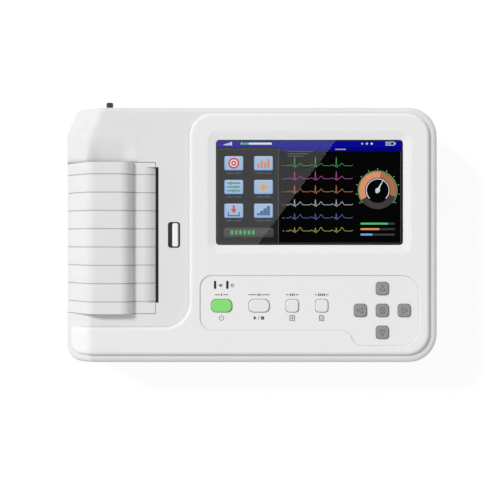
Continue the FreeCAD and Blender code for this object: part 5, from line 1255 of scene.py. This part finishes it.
@dataclass
class Display:
    """The screen: clear glass over a lit picture on its module.

    The picture's sizes are in millimetres from its lower left corner, apart from places that are counted
    from the top, for the tools and traces, or from the right, for the dial and its meters.
    """

    glass_border: float = 3.2
    bar_height: float = 6.0
    row_height: float = 3.6
    list_width: float = 51.0
    margin: float = 1.6
    tool_start: tuple[float, float] = (15.0, 19.5)
    tool_pitch: tuple[float, float] = (25.0, 20.0)
    tool_size: tuple[float, float] = (15.4, 11.6)
    tool_rim: float = 0.5
    volume_place: tuple[float, float] = (27.5, 10.5)
    volume_pitch: float = 3.6
    volume_steps: int = 9
    volume_level: int = 6
    trace_margins: tuple[float, float] = (8.0, 42.0)
    trace_start: float = 12.0
    trace_pitch: float = 11.0
    trace_height: float = 7.5
    trace_points: int = 260
    beats: float = 3.2
    dial_place: tuple[float, float] = (21.0, 46.0)
    dial_radius: float = 13.2
    dial_band: float = 5.2
    needle_turn: float = 62.0
    meter_top: float = 18.0
    meter_pitch: float = 4.6
    meter_size: tuple[float, float] = (29.0, 1.6)
    black: Colour = (0.002, 0.002, 0.002)
    slate: Colour = (0.016, 0.016, 0.017)
    trough: Colour = (0.05, 0.05, 0.05)
    rule: Colour = (0.10, 0.10, 0.10)
    dim: Colour = (0.12, 0.12, 0.12)
    blue: Colour = (0.004, 0.004, 0.42)
    white: Colour = (0.85, 0.87, 0.9)
    red: Colour = (0.72, 0.05, 0.05)
    sky: Colour = (0.18, 0.42, 0.85)
    navy: Colour = (0.03, 0.10, 0.30)
    paper: Colour = (0.62, 0.72, 0.82)
    gold: Colour = (0.85, 0.42, 0.05)
    green: Colour = (0.10, 0.55, 0.16)
    salmon: Colour = (0.80, 0.30, 0.16)
    violet: Colour = (0.62, 0.16, 0.5)
    indigo: Colour = (0.2, 0.26, 0.7)
    straw: Colour = (0.7, 0.62, 0.2)
    canvas: Canvas = field(init=False)
    width: float = field(init=False)
    height: float = field(init=False)

    def dress(self) -> None:
        """Gives the glass, the gasket and the module their finishes."""
        GLASS.dress("display_glass")
        FOAM.dress("display_gasket")
        BLACK_PLASTIC.dress("display_module")

    def build(self) -> None:
        """Draws the picture: a status bar, a column of tools, traces and a dial."""
        low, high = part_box("display_glass")
        self.width = (high.x - low.x) / MM - 2 * self.glass_border
        self.height = (high.y - low.y) / MM - 2 * self.glass_border
        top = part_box("display_module")[1].z
        border = self.glass_border * MM
        self.canvas = Canvas(Vector((low.x + border, low.y + border, top)))
        self.draw_page()
        self.draw_bar()
        self.draw_battery()
        self.draw_tools()
        self.draw_volume()
        self.draw_traces()
        self.draw_dial()
        self.draw_meters()
        self.canvas.piece("screen_picture", PICTURE, "case", "display_frame")

    def draw_page(self) -> None:
        """Lays the black page, the slate column and the thin rules round them."""
        low, right = self.margin, self.width - self.margin
        top = self.height - self.bar_height - self.margin
        parting = low + self.list_width
        page = (self.width / 2, self.height / 2)
        self.canvas.tile(page, self.width + 2, self.height + 2, 2.0, self.black)
        column = ((low + parting) / 2, (low + top) / 2)
        self.canvas.tile(column, self.list_width, top - low, 0.4, self.slate)
        self.canvas.outline((low, low), (right, top), 0.35, self.rule)
        self.canvas.lines([(parting, low), (parting, top)], 0.45, self.rule)

    def draw_bar(self) -> None:
        """Lays the blue status bar and the title row under it, with a signal, a level meter and lamps."""
        level = self.height - self.bar_height / 2
        deep = shaded(self.blue, 0.55)
        self.canvas.tile((self.width / 2, level), self.width, self.bar_height, 0.4, deep, self.blue)
        edge = self.margin + self.list_width
        row = (edge + self.width) / 2, self.height - self.bar_height - self.row_height / 2
        self.canvas.tile(row, self.width - edge - 0.6, self.row_height, 0.3, shaded(self.blue, 0.35), deep)
        self.canvas.tile(row, 9.0, 0.9, 0.3, shaded(self.white, 0.45))
        signal, signal_pitch, signal_foot = 7.0, 1.5, level - 1.5
        for index in range(5):
            tall = 0.9 + 0.5 * index
            place = (signal + signal_pitch * index, signal_foot + tall / 2)
            self.canvas.tile(place, 0.9, tall, 0.1, self.white)
        gauge, gauge_length, filled, filled_length, thickness = 34.0, 26.0, 24.6, 6.2, 1.7
        pale, dark = shaded(self.white, 0.75), shaded(self.green, 0.6)
        self.canvas.tile((gauge, level), gauge_length, thickness, 0.3, pale, self.white)
        self.canvas.tile((filled, level), filled_length, thickness, 0.3, dark, self.green)
        lamps, lamp_pitch, lamp_radius = self.width - 34.0, 4.0, 0.9
        for index in range(3):
            lit = shaded(self.white, 0.5 + 0.2 * index)
            self.canvas.disc((lamps + lamp_pitch * index, level), lamp_radius, lit)

    def draw_battery(self) -> None:
        """Lays a battery mark at the right end of the bar."""
        level = self.height - self.bar_height / 2
        left, right = self.width - 14, self.width - 7
        self.canvas.outline((left, level - 1.3), (right, level + 1.3), 0.4, self.white)
        self.canvas.tile((left + 2.4, level), 3.6, 1.5, 0.1, self.green)
        self.canvas.tile((right + 0.8, level), 0.8, 1.2, 0.1, self.white)

    def draw_tools(self) -> None:
        """Lays six tool tiles in the slate column, each with two short rules under it."""
        wide, tall = self.tool_size
        rim = 2 * self.tool_rim
        sketches = (self.rings, self.bars, self.sliders, self.sun, self.arrow, self.steps)
        for index, sketch in enumerate(sketches):
            row, column = divmod(index, 2)
            down = self.tool_start[1] + self.tool_pitch[1] * row
            centre = np.array([self.tool_start[0] + self.tool_pitch[0] * column, self.height - down])
            self.canvas.tile(centre, wide + rim, tall + rim, 1.6, shaded(self.navy, 1.4), self.navy)
            self.canvas.tile(centre, wide, tall, 1.2, shaded(self.sky, 0.75), self.paper)
            sketch(centre)
            for place, length in ((-3.4, 6.0), (3.6, 5.2)):
                self.canvas.tile(centre + (place, -8.4), length, 0.9, 0.3, self.rule)

    def draw_volume(self) -> None:
        """Lays a wide volume tile under the tools."""
        centre = np.array(self.volume_place)
        self.canvas.tile(centre, 42.0, 8.0, 2.0, (0.05, 0.05, 0.055), (0.09, 0.09, 0.1))
        for index in range(self.volume_steps):
            lit = self.green if index < self.volume_level else self.dim
            step = centre + (self.volume_pitch * index - 14.0, 0)
            self.canvas.tile(step, 2.2, 3.6, 0.5, shaded(lit, 0.6), lit)

    def rings(self, centre: Array) -> None:
        """Draws a target.

        Args:
            centre: The middle of its tile.
        """
        self.canvas.disc(centre, 4.6, shaded(self.red, 0.7), self.red)
        self.canvas.ring(centre, 2.7, 0.9, self.white)
        self.canvas.disc(centre, 0.9, self.white)

    def bars(self, centre: Array) -> None:
        """Draws four columns of different heights.

        Args:
            centre: The middle of its tile.
        """
        for index, tall in enumerate((3.4, 6.2, 4.6, 7.8)):
            place = centre + (-4.2 + 2.8 * index, -4.0 + tall / 2)
            self.canvas.tile(place, 1.9, tall, 0.3, shaded(self.salmon, 0.7), self.salmon)

    def sliders(self, centre: Array) -> None:
        """Draws three sliders with round knobs.

        Args:
            centre: The middle of its tile.
        """
        for index, knob in enumerate((-2.4, 2.0, -0.4)):
            level = centre + (0, 3.2 - 3.2 * index)
            self.canvas.tile(level, 11.0, 0.8, 0.3, self.navy)
            self.canvas.disc(level + (knob, 0), 1.4, shaded(self.green, 0.6), self.green)

    def sun(self, centre: Array) -> None:
        """Draws a disc with eight rays.

        Args:
            centre: The middle of its tile.
        """
        self.canvas.disc(centre, 2.3, shaded(self.gold, 0.8), self.gold)
        for ray in toward(np.arange(0, 360, 45)):
            self.canvas.stroke([centre + ray * 3.1, centre + ray * 4.7], 0.8, self.gold)

    def arrow(self, centre: Array) -> None:
        """Draws an arrow into a tray.

        Args:
            centre: The middle of its tile.
        """
        self.canvas.stroke([centre + (0, 4.6), centre + (0, 0.4)], 1.8, self.red)
        self.canvas.stroke([centre + (0, 1.2), centre + (0, -2.2)], np.array([5.4, 0.1]), self.red)
        tray = np.array([(-4.6, -1.6), (-4.6, -4.2), (4.6, -4.2), (4.6, -1.6)])
        self.canvas.lines(centre + tray, 0.9, self.navy)

    def steps(self, centre: Array) -> None:
        """Draws a rising stair.

        Args:
            centre: The middle of its tile.
        """
        for index in range(4):
            tall = 2.0 * (index + 1)
            place = centre + (-4.2 + 2.8 * index, -4.0 + tall / 2)
            self.canvas.tile(place, 2.7, tall, 0.1, shaded(self.sky, 0.2), shaded(self.sky, 0.6))

    def draw_traces(self) -> None:
        """Lays six heart traces, whose beats are sums of bell curves, and three caption rules."""
        colours = (self.green, self.violet, self.salmon, self.white, self.indigo, self.straw)
        start = self.list_width + self.trace_margins[0]
        end = self.width - self.trace_margins[1]
        top = self.height - self.bar_height
        along = np.linspace(0, 1, self.trace_points)
        phase = along * self.beats % 1.0
        places = (0.22, 0.37, 0.41, 0.45, 0.68)
        spreads = (0.035, 0.011, 0.012, 0.014, 0.055)
        for index, colour in enumerate(colours):
            gains = (0.12, -0.14, 1.0 - 0.12 * index, -0.22, 0.26 + 0.03 * index)
            wave = sum(
                gain * np.exp(-((phase - place) ** 2) / (2 * spread**2))
                for gain, place, spread in zip(gains, places, spreads)
            )
            level = top - self.row_height - self.trace_start - self.trace_pitch * index
            path = np.stack([start + (end - start) * along, level + self.trace_height * wave], axis=1)
            self.canvas.stroke(path, 0.3, shaded(colour, 0.8))
            self.canvas.tile((start - 2.2, level), 1.6, 0.5, 0.2, shaded(self.white, 0.3))
        for index in range(3):
            place = (start + 12 - 2.0 * index, top - 3.6 - 1.9 * index)
            self.canvas.tile(place, 22 - 4 * index, 0.55, 0.2, self.dim)

    def draw_dial(self) -> None:
        """Lays a ring dial with a coloured arc, ticks and a pointer."""
        centre = np.array([self.width - self.dial_place[0], self.dial_place[1]])
        radius, band = self.dial_radius, self.dial_band
        rim, scale, tick_start, tick_end = 16.4, 9.6, 17.4, 18.6
        self.canvas.ring(centre, radius, band, (0.06, 0.05, 0.05))
        self.canvas.ring(centre, radius, band, self.salmon, 210, -20)
        self.canvas.ring(centre, radius, band, shaded(self.salmon, 0.55), 80, -20)
        self.canvas.ring(centre, rim, 0.5, self.green, 220, -40)
        self.canvas.ring(centre, scale, 0.6, self.white, 225, -45)
        for ray in toward(np.linspace(215, -35, 11)):
            tick = [centre + ray * tick_start, centre + ray * tick_end]
            self.canvas.stroke(tick, 0.4, shaded(self.white, 0.6))
        needle = toward(self.needle_turn)
        ends = [centre - needle * 2.4, centre + needle * 10.6]
        self.canvas.stroke(ends, np.array([1.9, 0.2]), self.white)
        self.canvas.disc(centre, 2.0, shaded(self.white, 0.6), self.white)

    def draw_meters(self) -> None:
        """Lays three level meters under the dial."""
        centre = self.width - self.dial_place[0]
        length, thickness = self.meter_size
        meters = ((0.8, self.green), (0.55, self.salmon), (0.35, self.sky))
        for index, (share, colour) in enumerate(meters):
            level = self.meter_top - self.meter_pitch * index
            self.canvas.tile((centre, level), length, thickness, 0.7, self.trough)
            filled = (centre - length * (1 - share) / 2, level)
            self.canvas.tile(filled, length * share, thickness, 0.7, colour)


class Symbol(Enum):
    """The mark on a grey key: an arrowhead at an angle in degrees, or a list."""

    UP = 90.0
    DOWN = -90.0
    LEFT = 180.0
    RIGHT = 0.0
    MENU = None


@dataclass
class Keypad:
    """The key panel: printed film, nine keys, two status lenses and the marks on them.

    The marks' sizes are in millimetres.
    """

    label_rise: float = 9.2
    sign_drop: float = 10.3
    line: float = 0.5
    thin_line: float = 0.35
    arrow_reach: float = 2.7
    lens_drop: float = 0.4
    ink: Colour = (0.1, 0.1, 0.1)
    canvas: Canvas = field(init=False)

    def dress(self) -> None:
        """Gives the film, the keys and what lies under them their finishes."""
        FILM.dress("key_overlay")
        GREEN_KEY.dress("power_key")
        WHITE_KEY.dress("start_key", "mode_key", "print_key")
        GREY_KEY.dress("up_key", "down_key", "left_key", "right_key", "menu_key")
        SMOKED.dress("status_lenses")
        BOARD.dress("key_board")
        BLACK_PLASTIC.dress("key_switches")

    def build(self) -> None:
        """Prints the legends on the film and the symbols on the keys."""
        self.print_legends()
        for symbol in Symbol:
            self.mark_key(f"{symbol.name.lower()}_key", symbol)

    def print_legends(self) -> None:
        """Prints an index mark over each key in the row, a sign under it, and a sign for each lens."""
        self.canvas = Canvas(Vector((0.0, 0.0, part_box("key_overlay")[1].z)))
        widths = {"power_key": 10.4, "start_key": 17.0, "mode_key": 10.0, "print_key": 10.7}
        signs = (self.power_sign, self.start_sign, self.grid_sign, self.page_sign)
        for number, ((name, width), sign) in enumerate(zip(widths.items(), signs), start=1):
            key = np.array(middle(name).xy) / MM
            self.index_mark(key + (0, self.label_rise), width, number)
            sign(key + (0, -self.sign_drop))
        low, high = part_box("status_lenses")
        level = (low.y + high.y) / 2 / MM - self.lens_drop
        self.plug_sign(np.array([low.x / MM + 5.6, level]))
        self.canvas.ring((high.x / MM + 3.2, level), 1.1, self.line, self.ink)
        self.canvas.piece("overlay_legends", LEGEND_INK, "case", "overlay_film")

    def index_mark(self, centre: Array, width: float, number: int) -> None:
        """Prints a short rule on each side of as many small squares as the key's number.

        Args:
            centre: The middle of the mark.
            width: Its length from end to end.
            number: The key's number in the row.
        """
        pitch = 1.6
        half = pitch * number / 2
        for side in (-1, 1):
            rule = [centre + (side * (half + 1.0), 0), centre + (side * width / 2, 0)]
            self.canvas.lines(rule, 0.7, self.ink)
        for index in range(number):
            self.canvas.tile(centre + (pitch * (index + 0.5) - half, 0), 1.0, 2.0, 0.2, self.ink)

    def power_sign(self, centre: Array) -> None:
        """Prints an open ring with a bar in its gap."""
        self.canvas.ring(centre, 1.9, self.line, self.ink, 125, 415)
        self.canvas.lines([centre + (0, 0.4), centre + (0, 2.3)], self.line, self.ink)

    def start_sign(self, centre: Array) -> None:
        """Prints an arrowhead, a slanted stroke and a square.

        Args:
            centre: The middle of the sign.
        """
        self.canvas.stroke([centre + (-4.4, 0), centre + (-1.8, 0)], np.array([3.6, 0.1]), self.ink)
        self.canvas.lines([centre + (-0.8, -1.8), centre + (0.4, 1.8)], self.thin_line, self.ink)
        self.canvas.tile(centre + (3.0, 0), 2.7, 2.7, 0.2, self.ink)

    def grid_sign(self, centre: Array) -> None:
        """Prints a frame of four panes.

        Args:
            centre: The middle of the sign.
        """
        half = 2.0
        self.canvas.outline(centre - half, centre + half, self.line, self.ink)
        for bar in (np.array([half, 0]), np.array([0, half])):
            self.canvas.lines([centre - bar, centre + bar], self.line * 0.8, self.ink)

    def page_sign(self, centre: Array) -> None:
        """Prints a sheet with a cut corner and three lines.

        Args:
            centre: The middle of the sign.
        """
        sheet = np.array([(-1.8, -2.2), (1.8, -2.2), (1.8, 1.1), (0.7, 2.2), (-1.8, 2.2)])
        self.canvas.lines(centre + sheet, self.line, self.ink, closed=True)
        for level in (-1.2, -0.2, 0.8):
            self.canvas.lines([centre + (-0.9, level), centre + (0.9, level)], 0.3, self.ink)

    def plug_sign(self, centre: Array) -> None:
        """Prints a small plug with two blades.

        Args:
            centre: The middle of the plug.
        """
        self.canvas.tile(centre, 1.7, 2.0, 0.4, self.ink)
        for level in (-0.55, 0.55):
            self.canvas.lines([centre + (0.8, level), centre + (1.7, level)], self.thin_line, self.ink)
        self.canvas.lines([centre + (-1.9, 0), centre + (-0.8, 0)], 0.4, self.ink)

    def mark_key(self, name: str, symbol: Symbol) -> None:
        """Prints an outlined arrowhead or a list on a grey key.

        Args:
            name: The key's name.
            symbol: What is printed on it.
        """
        canvas = Canvas(middle(name))
        if symbol is Symbol.MENU:
            canvas.outline((-1.7, -2.4), (1.7, 2.4), 0.4, self.ink)
            for level in (-1.3, 0.0, 1.3):
                canvas.lines([(-0.9, level), (0.9, level)], 0.4, self.ink)
        else:
            corners = toward(symbol.value + np.array([0.0, 130.0, 230.0])) * self.arrow_reach
            canvas.lines(corners, 0.42, self.ink, closed=True)
        canvas.piece(f"{name}_symbol", KEY_INK, f"{name}_body", "grey_key")


@dataclass
class PaperUnit:
    """The hinged cover with its platen, the printer under it, the latch and the paper."""

    def dress(self) -> None:
        """Gives the printer's pieces their finishes."""
        HUMP.dress("paper_cover")
        CASE.dress("paper_tray")
        LATCH.dress("latch_button")
        BLACK_PLASTIC.dress("latch_bar")
        STEEL.dress("platen_shaft", "idler_axle", "head_spring")
        BLUED_STEEL.dress("tear_bar")
        SHEET_STEEL.dress("printer_frame", "drive_motor")
        GEAR_PLASTIC.dress("platen_bushes", "platen_gear", "idler_gear", "paper_spindle")
        BRASS.dress("motor_pinion")
        PLATEN_SKIN.dress("platen_rubber")
        CERAMIC.dress("print_head")
        ANODISED.dress("head_heat_sink")
        CARD.dress("paper_core")
        low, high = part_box("paper_roll")
        axis = ((low.x + high.x) / 2, (low.z + high.z) / 2)
        ChartPaper("chart_paper", axis, (high.z - low.z) / 2, (high.y - low.y) / 2).dress("paper_roll")


@dataclass
class Electronics:
    """The boards, the battery and the sockets in the case walls."""

    def dress(self) -> None:
        """Gives the boards and the sockets their finishes."""
        BOARD.dress("main_board", "power_board")
        BLACK_PLASTIC.dress("main_board_parts", "power_parts", "mains_inlet", "usb_tongues")
        SLEEVE.dress("battery_pack")
        NICKEL.dress("mains_pins", "lead_socket_posts")
        DARK_NICKEL.dress("ground_post", "ground_nut")
        SOCKET_BLUE.dress("lead_socket")
        STEEL.dress("usb_sockets")


def main() -> None:
    """Builds the studio, dresses the machine and adds its small pieces, each reported as it is made."""
    logging.basicConfig(level=logging.INFO)
    Studio().build()
    for unit in (CaseShells(), Display(), Keypad()):
        unit.dress()
        unit.build()
    PaperUnit().dress()
    Electronics().dress()


if __name__ == "__main__":
    main()
